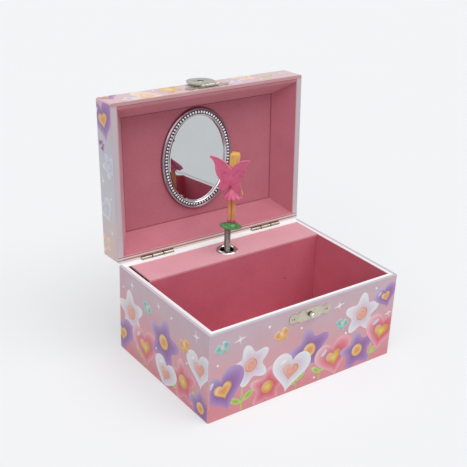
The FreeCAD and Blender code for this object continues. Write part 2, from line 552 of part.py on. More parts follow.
# Winding key, its arbor and the crown wheel that turn together
addendum, dedendum, root_width, tip_width = WINDING_TEETH
crown_y = size("dancer_back") + size("pinion_radius") + dedendum
crown_pose = Placement(Vector(0, crown_y, size("crown_height")), Rotation(Vector(1, 0, 0), 90))
crown = new_body("crown_wheel", crown_pose)
rod(crown, "disc", "crown_radius + crown_face / 2", "crown_sheet", ("0", "0", "- crown_sheet"))
rod(crown, "arbor_hole", "key_arbor", "crown_sheet * 3", ("0", "0", "- crown_sheet * 2"), cut=True)
tooth_height = addendum + dedendum
tooth_foot = -size("crown_sheet") / 12
tooth_points = [(-root_width / 2, tooth_foot), (root_width / 2, tooth_foot), (root_width / 2, 0),
                (tip_width / 2, tooth_height), (-tip_width / 2, tooth_height), (-root_width / 2, 0)]
tooth_start = size("crown_radius") - size("crown_face") / 2
doc.recompute()
tooth_outline = sketch(crown, "tooth_outline", "YZ_Plane", outline(tooth_points), tooth_start)
tooth = pad(crown, "tooth", tooth_outline, "crown_face - bearing_fit")
doc.recompute()
ring_of_teeth = crown.newObject("PartDesign::PolarPattern", "crown_wheel_teeth")
ring_of_teeth.Originals = [tooth]
ring_of_teeth.Axis = (plane(crown, "Z_Axis"), [""])
ring_of_teeth.Angle = 360
ring_of_teeth.setExpression("Occurrences", bound("crown_teeth"))
crown.Tip = ring_of_teeth

arbor = new_body("winding_arbor")
rod(arbor, "rod", "key_arbor", "key_arbor_length",
    ("0", "dancer_back + key_arbor_start", "crown_height"), ALONG_Y)
key = new_body("winding_key")
key_start = f"{HALF_Y} + key_gap"
key_z = ("crown_height - key_half_sheet", "crown_height + key_half_sheet")
rod(key, "hub", "key_arbor * 2", "key_hub", ("0", key_start, "crown_height"), ALONG_Y)
block(key, "bow", ("- key_span / 2", "key_span / 2"),
      (f"{key_start} + key_bow_start", f"{key_start} + key_bow_end"), key_z)
bore_y(key, "socket", "key_arbor", "0",
       (f"{key_start} - {OVERSHOOT}", f"{key_start} + key_socket"), "crown_height")
for side, sign in SIDES:
    window = (f"{sign} key_window_x", f"{key_start} + key_window_y", "crown_height - 2 * key_half_sheet")
    rod(key, f"window_{side}", "key_window", "4 * key_half_sheet", window, cut=True)

# Pinned cylinder with its arbor and pinion, and the wheel that drives the fan
doc.recompute()
cylinder_arbor = new_body("cylinder_arbor", SPINDLE_POSE)
pinion_spare = 0.2
pinion_low = size("crown_height") + size("crown_radius") - size("crown_face") / 2 - pinion_spare
pinion_outline = outline(gear_points(size("pinion_teeth"), size("pinion_radius"), *WINDING_TEETH))
half_tooth = 180 / size("pinion_teeth")
pinion = sketch(cylinder_arbor, "pinion_outline", "XY_Plane", pinion_outline, pinion_low, half_tooth)
pad(cylinder_arbor, "pinion", pinion, f"crown_face + {2 * pinion_spare}")
rod(cylinder_arbor, "rod", "arbor_radius", "arbor_length", ("0", "0", "arbor_low"))
rod(cylinder_arbor, "ferrule", "cup_radius", "ferrule_height", ("0", "0", "ferrule_low"))
rod(cylinder_arbor, "stud", "stud_radius", "lower_stud", ("0", "0", "ferrule_low"))

drum = doc.addObject("Part::Feature", "music_cylinder")
drum.Label = "music_cylinder"
drum_low, drum_length, drum_radius = size("drum_low"), size("drum_length"), size("drum_radius")
GOLDEN_TURN = (math.sqrt(5) - 1) / 2
pin_depth = 1
pins = []
for number in range(2 * comb_teeth):
    pin_start = Vector(drum_radius - pin_depth, 0, drum_low + (number % comb_teeth + 0.5) * comb_pitch)
    pin = Part.makeCylinder(size("drum_pin"), pin_depth + size("drum_pin_height"), pin_start, Vector(1, 0, 0))
    pins.append(pin.rotate(Vector(0, 0, 0), Vector(0, 0, 1), 360 * (number * GOLDEN_TURN % 1)))
solid_drum = Part.makeCylinder(drum_radius, drum_length, Vector(0, 0, drum_low))
drum_bore = Part.makeCylinder(size("arbor_radius"), drum_length, Vector(0, 0, drum_low))
drum.Shape = solid_drum.fuse(pins).cut(drum_bore)
drum.Placement = SPINDLE_POSE
nodes.append(drum)

drive = new_body("governor_drive_wheel", SPINDLE_POSE)
drive_outline = outline(gear_points(size("drive_wheel_teeth"), size("drive_wheel_radius"), *BRAKE_TEETH))
pad(drive, "wheel", sketch(drive, "outline", "XY_Plane", drive_outline, size("drive_low")), "drive_sheet")
rod(drive, "arbor_hole", "arbor_radius", "drive_sheet * 3", ("0", "0", "drive_low - drive_sheet"), cut=True)

# Air brake: a pinion and two blades on one arbor
FAN_POSE = Placement(dancer_axis - Vector(size("fan_spread"), 0, 0), UPRIGHT)
fan_arbor = new_body("fan_arbor", FAN_POSE)
fan_outline = outline(gear_points(size("fan_pinion_teeth"), size("fan_pinion_radius"), *BRAKE_TEETH))
half_fan_tooth = 180 / size("fan_pinion_teeth")
fan_low = size("fan_pinion_low")
fan_pinion = sketch(fan_arbor, "pinion_outline", "XY_Plane", fan_outline, fan_low, half_fan_tooth)
pad(fan_arbor, "pinion", fan_pinion, "fan_pinion_height")
rod(fan_arbor, "rod", "arbor_radius", "fan_arbor_length", ("0", "0", "arbor_low"))
fan = new_body("fan_blades", FAN_POSE)
block(fan, "blades", ("- fan_blade", "fan_blade"), ("- fan_half_sheet", "fan_half_sheet"),
      ("fan_low", "fan_low + fan_height"))
rod(fan, "hub", "fan_hub", "fan_height", ("0", "0", "fan_low"))
rod(fan, "arbor_hole", "arbor_radius", f"fan_height + {2 * OVERSHOOT}",
    ("0", "0", f"fan_low - {OVERSHOOT}"), cut=True)

# Stop lever: the lid lowers its tip at the end of the deck
stop_y = ("stop_plane", "stop_plane + stop_sheet")
lever = board_piece("stop_lever", ("- stop_left", "- stop_right"), stop_y,
                    ("stop_pivot_z - stop_half", "stop_pivot_z + stop_half"))
block(lever, "tip", ("- stop_left", "- stop_left + stop_tip"), stop_y, ("stop_pivot_z", "stop_tip_top"))
rod(lever, "pivot", "arbor_radius", "stop_pivot_length",
    ("stop_pivot_x", "stop_plane", "stop_pivot_z"), ALONG_Y)


# Dancer's spring: one wire wound in even curls, each quarter turn a pair of arcs
def helix_point(turn):
    radius = size("spring_radius")
    rise = (size("spring_high") - size("spring_low")) / size("spring_curls")
    angle = 2 * math.pi * turn
    return Vector(radius * math.cos(angle), radius * math.sin(angle), size("spring_low") + rise * turn)


def helix_direction(turn):
    radius = size("spring_radius")
    rise = (size("spring_high") - size("spring_low")) / size("spring_curls")
    angle = 2 * math.pi * turn
    return Vector(-radius * math.sin(angle), radius * math.cos(angle), rise / (2 * math.pi)).normalize()


def biarc(start, start_way, end, end_way):
    """Two arcs that leave one point and reach another along given directions."""
    across = end - start
    ways = start_way + end_way
    a = ways.dot(ways) - 4
    b = -2 * across.dot(ways)
    c = across.dot(across)
    reach = (-b - math.sqrt(b * b - 4 * a * c)) / (2 * a)
    first = start + start_way * reach
    second = end - end_way * reach
    middle = (first + second) * 0.5
    arcs = []
    for low, corner, high in ((start, first, middle), (middle, second, end)):
        weight = (high - low).Length / 2 / reach
        crown_point = (low + corner * (2 * weight) + high) * (1 / (2 + 2 * weight))
        arcs.append(Part.Arc(low, crown_point, high).toShape())
    return arcs


def least_gap(points, wire, apart):
    """The least clear distance between turns, measured on points of the centre line."""
    best = 1e9
    for i, p in enumerate(points):
        for q in points[i + apart:]:
            best = min(best, (p - q).Length - wire)
    return best


spring = doc.addObject("Part::Feature", "dancer_spring")
spring.Label = "dancer_spring"
wire = size("spring_wire")
curls = size("spring_curls")
start_point = helix_point(0) - helix_direction(0) * wire
end_point = helix_point(curls) + helix_direction(curls) * wire
path = [Part.LineSegment(start_point, helix_point(0)).toShape()]
for quarter in range(int(4 * curls)):
    low, high = quarter / 4, (quarter + 1) / 4
    path += biarc(helix_point(low), helix_direction(low), helix_point(high), helix_direction(high))
path.append(Part.LineSegment(helix_point(curls), end_point).toShape())
spring_path = Part.Wire(path)
sweep = Part.BRepOffsetAPI.MakePipeShell(spring_path)
sweep.add(Part.Wire([Part.Circle(start_point, helix_direction(0), wire / 2).toShape()]))
sweep.build()
sweep.makeSolid()
spring.Shape = sweep.shape()
spring.Placement = SPINDLE_POSE
nodes.append(spring)
samples_per_curl = 48
samples = [helix_point(i / samples_per_curl) for i in range(int(samples_per_curl * curls) + 1)]
gap = least_gap(samples, wire, samples_per_curl // 2)
expected = math.pi * (wire / 2) ** 2 * spring_path.Length
print(f"spring least gap to itself {gap:.2f} mm, volume {spring.Shape.Volume:.2f} of {expected:.2f} mm3")

# Cup on top of the spring, on whose stud the dancer turns
cup = new_body("spring_cup", SPINDLE_POSE)
cup_top = "leaf_bottom - cup_gap"
rod(cup, "disc", "cup_radius", "cup_sheet", ("0", "0", f"{cup_top} - cup_sheet"))
rod(cup, "lower_stud", "stud_radius", "cup_lower_stud", ("0", "0", f"{cup_top} - cup_sheet - cup_lower_stud"))
rod(cup, "upper_stud", "stud_radius", "cup_upper_stud", ("0", "0", f"{cup_top} - cup_sheet / 2"))

# Dancer, drawn facing +Y: leaf stand, figure, skirt, head and wings
leaf_stand = new_body("leaf_stand", DANCER_POSE)
leaf_low, feet = size("leaf_bottom"), size("leaf_bottom") + size("leaf_edge") + size("mound_height")
leaf_middle, mound_middle = aside("leaf_shift"), aside("figure_shift")
leaf_oval = Part.Ellipse(leaf_middle + Vector(size("leaf_half_x"), 0, 0),
                         leaf_middle + Vector(0, size("leaf_half_y"), 0), leaf_middle)
pad(leaf_stand, "leaf", sketch(leaf_stand, "oval", "XY_Plane", [leaf_oval], leaf_low), "leaf_edge")
mound_sizes = {"Radius1": "mound_radius", "Radius2": "mound_top", "Height": "mound_height"}
add(leaf_stand, "AdditiveCone", "mound", mound_sizes,
    (str(mound_middle.x), str(mound_middle.y), "leaf_bottom + leaf_edge"))
rod(leaf_stand, "bore", "stud_radius + stud_fit", "leaf_bore", ("0", "0", f"leaf_bottom - {SLACK}"), cut=True)

figure = new_body("dancer_figure", dancer_pose("figure_shift"))
neck, hip = size("neck_radius"), size("hip_radius")
neck_top, skirt_low = feet + size("neck_rise"), feet + size("skirt_rise")
figure_profile = [
    (0, feet), (2.5, feet), (2.5, feet + 3), (hip, feet + 10), (hip, skirt_low + 2), (2.4, skirt_low + 5),
    (3.0, feet + 28), (2.9, feet + 31), (neck, feet + 33), (neck, neck_top), (0, neck_top),
]
turned(figure, "trunk", outline(figure_profile))
arm_sizes = {"Radius1": "shoulder_radius", "Radius2": "wrist_radius", "Height": "arm_length"}
for (side, sign), way in zip(SIDES, (-1, 1)):
    lean = Rotation(Vector(0, 1, 0), 180 - way * size("arm_lean"))
    shoulder = (f"{sign} arm_out", "0", f"{feet} + arm_rise")
    add(figure, "AdditiveCone", f"arm_{side}", arm_sizes, shoulder, lean)

skirt = new_body("dancer_skirt", dancer_pose("figure_shift"))
hem, waist = size("skirt_radius"), skirt_low + size("skirt_height")
cloth = 0.4
skirt_section = [(hip, skirt_low + cloth), (hem, skirt_low), (hem, skirt_low + 1), (hip + cloth, waist),
                 (hip, waist)]
turned(skirt, "flare", outline(skirt_section))

head = new_body("dancer_head", dancer_pose("head_shift"))
face, crown_top = size("head_radius"), neck_top + size("head_height")
middle_line, chin = Vector(0, crown_top, 0), Vector(neck, neck_top, 0)
jaw, cheek = Vector(0.86 * face, neck_top + 1.6, 0), Vector(face, neck_top + 4.5, 0)
temple, crest = Vector(face, crown_top - 1.4, 0), Vector(face - 1.4, crown_top, 0)
round_corner = Vector(face - 0.41, crown_top - 0.41, 0)
turned(head, "ball", [
    Part.LineSegment(middle_line, Vector(0, neck_top, 0)),
    Part.LineSegment(Vector(0, neck_top, 0), chin),
    Part.Arc(chin, jaw, cheek),
    Part.LineSegment(cheek, temple),
    Part.Arc(temple, round_corner, crest),
    Part.LineSegment(crest, middle_line),
])

# One wing's outline as arcs from the upper notch round to the lower one, each by its middle and end
WING_START = (0, 15.7)
WING_ARCS = [
    ((6.0, 22.0), (13.2, 24.8)),
    ((14.0, 24.5), (13.9, 23.8)),
    ((12.0, 21.6), (10.9, 18.8)),
    ((9.9, 12.6), (6.8, 7.8)),
    ((8.2, 3.2), (4.8, 0)),
    ((2.0, 2.2), (0, 4.9)),
]
wings = new_body("dancer_wings", dancer_pose("wing_shift"))
wing_low = feet + size("wing_rise")
for (side, sign), way in zip(SIDES, (-1, 1)):
    notch = begin = Vector(WING_START[0], wing_low + WING_START[1], 0)
    wing_edges = []
    for middle, end in WING_ARCS:
        via, stop = (Vector(way * x, wing_low + z, 0) for x, z in (middle, end))
        wing_edges.append(Part.Arc(begin, via, stop))
        begin = stop
    wing_edges.append(Part.LineSegment(begin, notch))
    wing_outline = sketch(wings, f"outline_{side}", "XZ_Plane", wing_edges, size("wing_back"))
    wing_outline.AttachmentOffset.Rotation = Rotation(Vector(0, 1, 0), -way * size("wing_sweep"))
    pad(wings, f"sheet_{side}", wing_outline, "wing_sheet")
for name, level in (("low", 6.5), ("high", 11)):
    root = ("0", "- wing_root_back", str(wing_low + level))
    rod(wings, f"root_{name}", "wing_root", "wing_root_length", root, ALONG_Y)

# Every piece is checked, then written under its own name
doc.recompute()
failed = [item.Label for item in doc.Objects if {"Invalid", "Error"} & set(item.State)]
for node in nodes:
    shape = node.Shape
    if shape.isNull() or not shape.isValid() or len(shape.Solids) != 1:
        failed.append(f"{node.Label} ({len(shape.Solids)} solids)")
if failed:
    raise RuntimeError(f"pieces that did not build: {failed}")

os.makedirs("parts", exist_ok=True)
for node in nodes:
    node.Shape.exportStep(f"parts/{node.Label}.step")
print(f"{len(nodes)} pieces written")
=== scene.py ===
import json
import logging
import math
from contextlib import contextmanager
from dataclasses import dataclass
from enum import Enum
from functools import cache
from typing import Callable, Iterator, Sequence

import bmesh
import bpy
from mathutils import Matrix, Vector


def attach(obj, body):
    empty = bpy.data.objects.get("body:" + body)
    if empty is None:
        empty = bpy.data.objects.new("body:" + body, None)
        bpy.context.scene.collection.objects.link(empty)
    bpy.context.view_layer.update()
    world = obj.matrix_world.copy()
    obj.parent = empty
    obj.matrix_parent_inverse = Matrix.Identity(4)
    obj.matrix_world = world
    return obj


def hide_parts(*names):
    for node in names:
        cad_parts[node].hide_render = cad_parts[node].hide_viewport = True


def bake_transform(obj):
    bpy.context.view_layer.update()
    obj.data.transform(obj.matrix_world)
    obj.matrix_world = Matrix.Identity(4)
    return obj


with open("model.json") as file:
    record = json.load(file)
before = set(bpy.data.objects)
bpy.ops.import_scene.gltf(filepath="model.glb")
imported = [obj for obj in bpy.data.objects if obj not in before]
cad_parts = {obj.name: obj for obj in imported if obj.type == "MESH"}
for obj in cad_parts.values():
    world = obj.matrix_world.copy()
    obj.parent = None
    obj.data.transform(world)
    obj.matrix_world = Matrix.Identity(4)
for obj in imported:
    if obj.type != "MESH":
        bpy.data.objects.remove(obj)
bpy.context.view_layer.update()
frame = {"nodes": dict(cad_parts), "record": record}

MM = 0.001
log = logging.getLogger("jewellery_box")

Piece, Node, Socket, Tree = bpy.types.Object, bpy.types.Node, bpy.types.NodeSocket, bpy.types.NodeTree
Point = tuple[float, float]
Place = tuple[float, float, float]
Colour = tuple[float, float, float]
Ring = tuple[float, float, float, float, float]
Rule = Callable[[Vector], Vector]


def rgb(*channels: float) -> Colour:
    """Turn a screen colour of 0 to 255 into the linear colour that shaders use."""
    shares = [channel / 255 for channel in channels]
    return tuple(s / 12.92 if s <= 0.04045 else ((s + 0.055) / 1.055) ** 2.4 for s in shares)


def mixed(first: Colour, second: Colour, share: float) -> Colour:
    """Blend two colours by the given share of the second."""
    return tuple(a + (b - a) * share for a, b in zip(first, second))


# Size of the case, in millimetres, and the places of the moving bodies at rest

HALF_WIDE, HALF_DEEP = 76, 54
HINGE_AXIS = Vector((0, 54.5, 62.2)) * MM
LID_OPEN = (
    Matrix.Translation(HINGE_AXIS)
    @ Matrix.Rotation(math.radians(-93), 4, "X")
    @ Matrix.Translation(-HINGE_AXIS)
)
DANCER_AXIS = Vector((0, 37.6, 0)) * MM
DANCER_TURN = Matrix.Translation(DANCER_AXIS) @ Matrix.Rotation(math.radians(-51.5), 4, "Z")
DANCER_LEAN = math.radians(16)


# Modelling by hand

def clear_bench() -> None:
    """Leave edit mode and deselect everything."""
    if bpy.context.object and bpy.context.object.mode != "OBJECT":
        bpy.ops.object.mode_set(mode="OBJECT")
    bpy.ops.object.select_all(action="DESELECT")


def take_up(piece: Piece) -> None:
    """Make this piece the only one selected, and the active one."""
    clear_bench()
    piece.select_set(True)
    bpy.context.view_layer.objects.active = piece


@contextmanager
def editing(piece: Piece) -> Iterator[None]:
    """Hold the piece in edit mode for the length of a with block."""
    take_up(piece)
    bpy.ops.object.mode_set(mode="EDIT")
    yield
    bpy.ops.object.mode_set(mode="OBJECT")


def pick_all() -> None:
    """Select the whole of the piece in edit mode."""
    bpy.ops.mesh.select_all(action="SELECT")


def pick_faces(piece: Piece, wanted: Callable[[Vector], bool]) -> None:
    """Select the faces, in edit mode, whose normal a test accepts."""
    bpy.ops.mesh.select_mode(type="FACE")
    bpy.ops.mesh.select_all(action="DESELECT")
    mesh = bmesh.from_edit_mesh(piece.data)
    for face in mesh.faces:
        face.select_set(wanted(face.normal))
    mesh.select_flush_mode()
    bmesh.update_edit_mesh(piece.data)


def face_out() -> None:
    """Turn all faces of the piece in edit mode outwards."""
    pick_all()
    bpy.ops.mesh.normals_make_consistent(inside=False)


def draw_out(*step: float) -> None:
    """Extrude what is selected in edit mode by a step."""
    bpy.ops.mesh.extrude_region_move(TRANSFORM_OT_translate={"value": step})


def named(name: str) -> Piece:
    """Name the piece that was just added and return it."""
    piece = bpy.context.object
    piece.name = name
    piece.data.name = name
    return piece


def settle(piece: Piece) -> Piece:
    """Put the piece's place into its mesh, so that the object sits at the origin."""
    take_up(piece)
    bpy.ops.object.transform_apply(location=True, rotation=True, scale=True)
    return piece


def smooth(piece: Piece, angle: float) -> None:
    """Shade the piece smooth, except at edges sharper than the angle in degrees."""
    take_up(piece)
    bpy.ops.object.shade_smooth_by_angle(angle=math.radians(angle))


def modified(piece: Piece, kind: str, **settings: object) -> None:
    """Give the piece a modifier with its settings, and apply it."""
    take_up(piece)
    modifier = piece.modifiers.new(kind, kind)
    for setting, value in settings.items():
        setattr(modifier, setting, value)
    bpy.ops.object.modifier_apply(modifier=modifier.name)


def rounded(piece: Piece, levels: int) -> None:
    """Round the whole piece with a subdivision surface."""
    modified(piece, "SUBSURF", levels=levels, render_levels=levels)


def reshape(piece: Piece, move: Rule) -> None:
    """Move every point of the piece by a rule that works in millimetres."""
    for vertex in piece.data.vertices:
        vertex.co = move(vertex.co / MM) * MM


def copied(piece: Piece, name: str, place: Matrix) -> Piece:
    """Copy a piece with a mesh of its own, moved to another place.

    Args:
        piece: The model that is repeated.
        name: Name of the copy.
        place: Where the copy goes.

    Returns:
        The copy, with its place in its mesh.
    """
    twin = piece.copy()
    twin.data = piece.data.copy()
    twin.name = name
    twin.data.name = name
    bpy.context.scene.collection.objects.link(twin)
    twin.data.transform(place)
    if place.determinant() < 0:
        twin.data.flip_normals()
    return twin


def joined(pieces: Sequence[Piece], name: str) -> Piece:
    """Join several pieces into the first one."""
    clear_bench()
    for piece in pieces:
        piece.select_set(True)
    bpy.context.view_layer.objects.active = pieces[0]
    bpy.ops.object.join()
    return named(name)


def ball(name: str, segments: int, rings: int, move: Rule) -> Piece:
    """Reshape a ball of one millimetre's radius by a rule that works in millimetres."""
    clear_bench()
    bpy.ops.mesh.primitive_uv_sphere_add(segments=segments, ring_count=rings, radius=MM)
    piece = named(name)
    reshape(piece, move)
    piece.data.shade_smooth()
    return piece


def stacked(name: str, rings: Sequence[Ring], sides: int) -> Piece:
    """Extrude a disc upwards through a stack of rings, each resized as it goes.

    Args:
        name: Name of the piece.
        rings: The rings from the bottom to the top, each by its middle and its two half widths.
        sides: How many sides each ring has.

    Returns:
        The closed piece.
    """
    def resized(ring: Ring, by_x: float, by_y: float) -> None:
        """Resize what is selected about the middle of a ring."""
        middle = tuple(value * MM for value in ring[:3])
        bpy.ops.transform.resize(value=(by_x, by_y, 1), center_override=middle)

    clear_bench()
    low = rings[0]
    bpy.ops.mesh.primitive_circle_add(vertices=sides, radius=low[3] * MM, fill_type="NGON",
                                      location=tuple(value * MM for value in low[:3]))
    piece = settle(named(name))
    with editing(piece):
        pick_all()
        resized(low, 1, low[4] / low[3])
        for below, ring in zip(rings, rings[1:]):
            draw_out(*((end - start) * MM for start, end in zip(below[:3], ring[:3])))
            resized(ring, ring[3] / below[3], ring[4] / below[4])
        face_out()
    return piece


def moulded(name: str, low: float, rings: Sequence[Ring], sides: int) -> Piece:
    """Stack rings above a height, and round the stack as moulded plastic is."""
    piece = stacked(name, [(x, y, low + z, *halves) for x, y, z, *halves in rings], sides)
    rounded(piece, 2)
    piece.data.shade_smooth()
    return piece


def turned(name: str, profile: Sequence[Point], sides: int, axis: str) -> Piece:
    """Stack round rings, each a height and a radius, and tip the stack by a quarter turn about an axis."""
    piece = stacked(name, [(0, 0, rise, reach, reach) for rise, reach in profile], sides)
    piece.data.transform(Matrix.Rotation(math.pi / 2, 4, axis))
    smooth(piece, 30)
    return piece


def tube(name: str, points: Sequence[Place], radius: float) -> Piece:
    """Bend a thin round rod along points, thinner towards its end.

    Args:
        name: Name of the piece.
        points: The points along the rod, in millimetres.
        radius: The rod's radius at its start, in millimetres.

    Returns:
        The rod as a mesh.
    """
    taper = 0.6
    clear_bench()
    bpy.ops.curve.primitive_nurbs_path_add(radius=MM)
    rod = bpy.context.object
    spline = rod.data.splines[0]
    spline.points.add(max(len(points) - len(spline.points), 0))
    last = len(points) - 1
    for i, item in enumerate(spline.points):
        item.co = (*(value * MM for value in points[min(i, last)]), 1)
        item.radius = 1 - taper * min(i / last, 1)
    spline.order_u = 3
    spline.use_endpoint_u = True
    spline.resolution_u = 6
    rod.data.bevel_depth = radius * MM
    rod.data.bevel_resolution = 2
    rod.data.use_fill_caps = True
    rod.location = (0, 0, 0)
    bpy.ops.object.convert(target="MESH")
    return named(name)


# Materials

class Way(Enum):
    """What a place on a piece is measured along."""

    X = "X"
    Y = "Y"
    Z = "Z"
    REACH = "how far to either side"
    SLOPE = "the height less that reach"


class Wiring:
    """Adds and joins the nodes of one material or node group."""

    def __init__(self, tree: Tree) -> None:
        """Start with an empty tree."""
        self.tree = tree
        tree.nodes.clear()

    def add(self, kind: str, **settings: object) -> Node:
        """Add a node, with its own settings."""
        node = self.tree.nodes.new(kind)
        for setting, value in settings.items():
            setattr(node, setting, value)
        return node

    def feed(self, node: Node, socket: str | int, source: object) -> None:
        """Join a socket to the output that feeds it, or set its value."""
        if isinstance(source, Socket):
            self.tree.links.new(source, node.inputs[socket])
        else:
            node.inputs[socket].default_value = source

    def fill(self, node: Node, sources: dict[str | int, object]) -> None:
        """Feed several sockets of a node."""
        for socket, source in sources.items():
            self.feed(node, socket, source)

    def maths(self, operation: str, *sources: object) -> Socket:
        """Work one sum on values."""
        node = self.add("ShaderNodeMath", operation=operation)
        self.fill(node, dict(enumerate(sources)))
        return node.outputs[0]

    def span(self, source: object, low: float, high: float, to_low: float = 0, to_high: float = 1) -> Socket:
        """Map a value from one range to another, and hold it there."""
        node = self.add("ShaderNodeMapRange")
        self.fill(node, dict(enumerate((source, low, high, to_low, to_high))))
        return node.outputs[0]

    def blend(self, share: object, first: object, second: object) -> Socket:
        """Blend two colours."""
        node = self.add("ShaderNodeMix", data_type="RGBA")
        first, second = (end if isinstance(end, Socket) else (*end, 1) for end in (first, second))
        self.fill(node, {0: share, 6: first, 7: second})
        return node.outputs[2]

    def noise(self, place: object, scale: object, detail: float = 3, rough: float = 0.5) -> Socket:
        """Spread a soft noise over the surface."""
        node = self.add("ShaderNodeTexNoise")
        self.fill(node, {"Vector": place, "Scale": scale, "Detail": detail, "Roughness": rough})
        return node.outputs[0]

    def stretched(self, place: object, scale: Place) -> Socket:
        """Stretch the coordinates that a pattern reads."""
        node = self.add("ShaderNodeMapping")
        self.fill(node, {"Vector": place, "Scale": scale})
        return node.outputs[0]

    def place(self) -> Socket:
        """Give the place on the piece, in metres."""
        return self.add("ShaderNodeTexCoord").outputs["Object"]

    def along(self, way: Way) -> Socket:
        """Give the place on the piece along one way, in metres."""
        if way is Way.REACH:
            return self.maths("ABSOLUTE", self.along(Way.X))
        if way is Way.SLOPE:
            return self.maths("SUBTRACT", self.along(Way.Z), self.along(Way.REACH))
        parts = self.add("ShaderNodeSeparateXYZ")
        self.feed(parts, 0, self.place())
        return parts.outputs[way.value]

    def seen(self) -> Socket:
        """Tell whether the eye sees this, straight or in metal and glass."""
        path = self.add("ShaderNodeLightPath")
        direct = self.maths("MAXIMUM", path.outputs["Is Camera Ray"], path.outputs["Is Glossy Ray"])
        return self.maths("MAXIMUM", direct, path.outputs["Is Transmission Ray"])

    def relief(self, height: Socket, strength: float, depth: float) -> Socket:
        """Raise the surface by a height, its depth in millimetres."""
        bump = self.add("ShaderNodeBump")
        self.fill(bump, {"Strength": strength, "Distance": depth * MM, "Height": height})
        return bump.outputs[0]


class Effects:
    """The surface effects that several finishes share, each built once."""

    FIBRES = (((1, 0.25, 1), 2600), ((0.25, 1, 0.6), 2100))
    CLOUDS = 34
    SMEARS = 210
    SCRATCHES = ((0.06, 1, 1), 5200)

    @staticmethod
    def finer(wiring: Wiring, fineness: Socket, scale: float) -> Socket:
        """Give the scale of a pattern at a fineness."""
        return wiring.maths("MULTIPLY", fineness, scale)

    @staticmethod
    def start(name: str, outputs: Sequence[str]) -> tuple[Wiring, Socket, Node]:
        """Open a new node group that takes a fineness.

        Args:
            name: Name of the effect.
            outputs: Its outputs.

        Returns:
            The group's wiring, its fineness and its output node.
        """
        tree = bpy.data.node_groups.new(name, "ShaderNodeTree")
        fineness = tree.interface.new_socket("Fineness", in_out="INPUT", socket_type="NodeSocketFloat")
        fineness.default_value = 1
        for label in outputs:
            tree.interface.new_socket(label, in_out="OUTPUT", socket_type="NodeSocketFloat")
        wiring = Wiring(tree)
        return wiring, wiring.add("NodeGroupInput").outputs[0], wiring.add("NodeGroupOutput")

    @staticmethod
    @cache
    def paper_grain() -> Tree:
        """Give the fibres of card and paper: a fine height and a soft tone."""
        wiring, fineness, result = Effects.start("paper_grain", ("Height", "Tone"))
        place = wiring.place()
        height = wiring.maths("ADD", *(
            wiring.noise(wiring.stretched(place, stretch), Effects.finer(wiring, fineness, scale), 2)
            for stretch, scale in Effects.FIBRES))
        cloud = wiring.noise(place, Effects.finer(wiring, fineness, Effects.CLOUDS), 4, 0.6)
        fibre = wiring.span(height, 0.7, 1.3, -0.22, 0.22)
        tone = wiring.maths("ADD", wiring.span(cloud, 0.3, 0.7, 0.2, 0.8), fibre)
        wiring.fill(result, {"Height": height, "Tone": tone})
        return wiring.tree

    @staticmethod
    @cache
    def handling() -> Tree:
        """Give the marks of use on metal and plastic: smears and fine scratches."""
        wiring, fineness, result = Effects.start("handling", ("Smear", "Scratch"))
        place = wiring.place()
        smear = wiring.noise(place, Effects.finer(wiring, fineness, Effects.SMEARS), 4, 0.62)
        stretch, scale = Effects.SCRATCHES
        scratch = wiring.noise(wiring.stretched(place, stretch), Effects.finer(wiring, fineness, scale), 2)
        wiring.fill(result, {"Smear": wiring.span(smear, 0.32, 0.7), "Scratch": scratch})
        return wiring.tree

    @staticmethod
    def placed(wiring: Wiring, tree: Tree, fineness: float) -> Sequence[Socket]:
        """Place an effect in a material with its own fineness, and give its outputs."""
        node = wiring.add("ShaderNodeGroup", node_tree=tree)
        wiring.feed(node, 0, fineness)
        return node.outputs


@dataclass(frozen=True)
class Finish:
    """A surface finish; each kind adds its own colour, roughness and relief."""

    name: str

    @cache
    def material(self) -> bpy.types.Material:
        """Build the material once and return it."""
        material = bpy.data.materials.new(f"{self.name}_finish")
        material.use_nodes = True
        wiring = Wiring(material.node_tree)
        shader = wiring.add("ShaderNodeBsdfPrincipled")
        wiring.feed(wiring.add("ShaderNodeOutputMaterial"), "Surface", shader.outputs[0])
        self.dress(wiring, shader)
        return material

    def dress(self, wiring: Wiring, shader: Node) -> None:
        """Join the finish to the shader."""
        raise NotImplementedError


@dataclass(frozen=True)
class Line:
    """A thin line of colour across a sheet, in millimetres: a paper edge, painted shade along a crease or
    fold, or a painted lighter band.

    It lies at one place along an axis, the same to both sides, and runs over a stretch of Z, if that axis
    is X, or else of X.
    """

    way: Way
    place: float
    half: float
    colour: Colour
    stretch: Point = (-100, 100)
    soft: float = 0.3
    dense: float = 0.85

    def drawn(self, wiring: Wiring, tone: Socket) -> Socket:
        """Draw the line over a tone."""
        other = wiring.along(Way.Z if self.way is Way.X else Way.X)
        away = wiring.maths("SUBTRACT", wiring.maths("ABSOLUTE", wiring.along(self.way)), self.place * MM)
        mask = wiring.span(
            wiring.maths("ABSOLUTE", away), self.half * MM, (self.half + self.soft) * MM, self.dense, 0)
        low, high = (end * MM for end in self.stretch)
        inside = wiring.maths(
            "MULTIPLY", wiring.maths("GREATER_THAN", other, low), wiring.maths("LESS_THAN", other, high))
        return wiring.blend(wiring.maths("MULTIPLY", mask, inside), tone, self.colour)


class Meeting(Enum):
    """Where a patch lies that sets in along two ways."""

    BOTH = "MULTIPLY"
    EITHER = "MAXIMUM"


@dataclass(frozen=True)
class Patch:
    """A part of a sheet in another colour, by the ways along which it sets in, in millimetres."""

    colour: Colour
    edges: tuple[tuple[Way, float, float], ...]
    meeting: Meeting = Meeting.BOTH

    def drawn(self, wiring: Wiring, tone: Socket) -> Socket:
        """Colour the part over a tone."""
        masks = [wiring.span(wiring.along(way), start * MM, full * MM) for way, start, full in self.edges]
        return wiring.blend(wiring.maths(self.meeting.value, *masks), tone, self.colour)


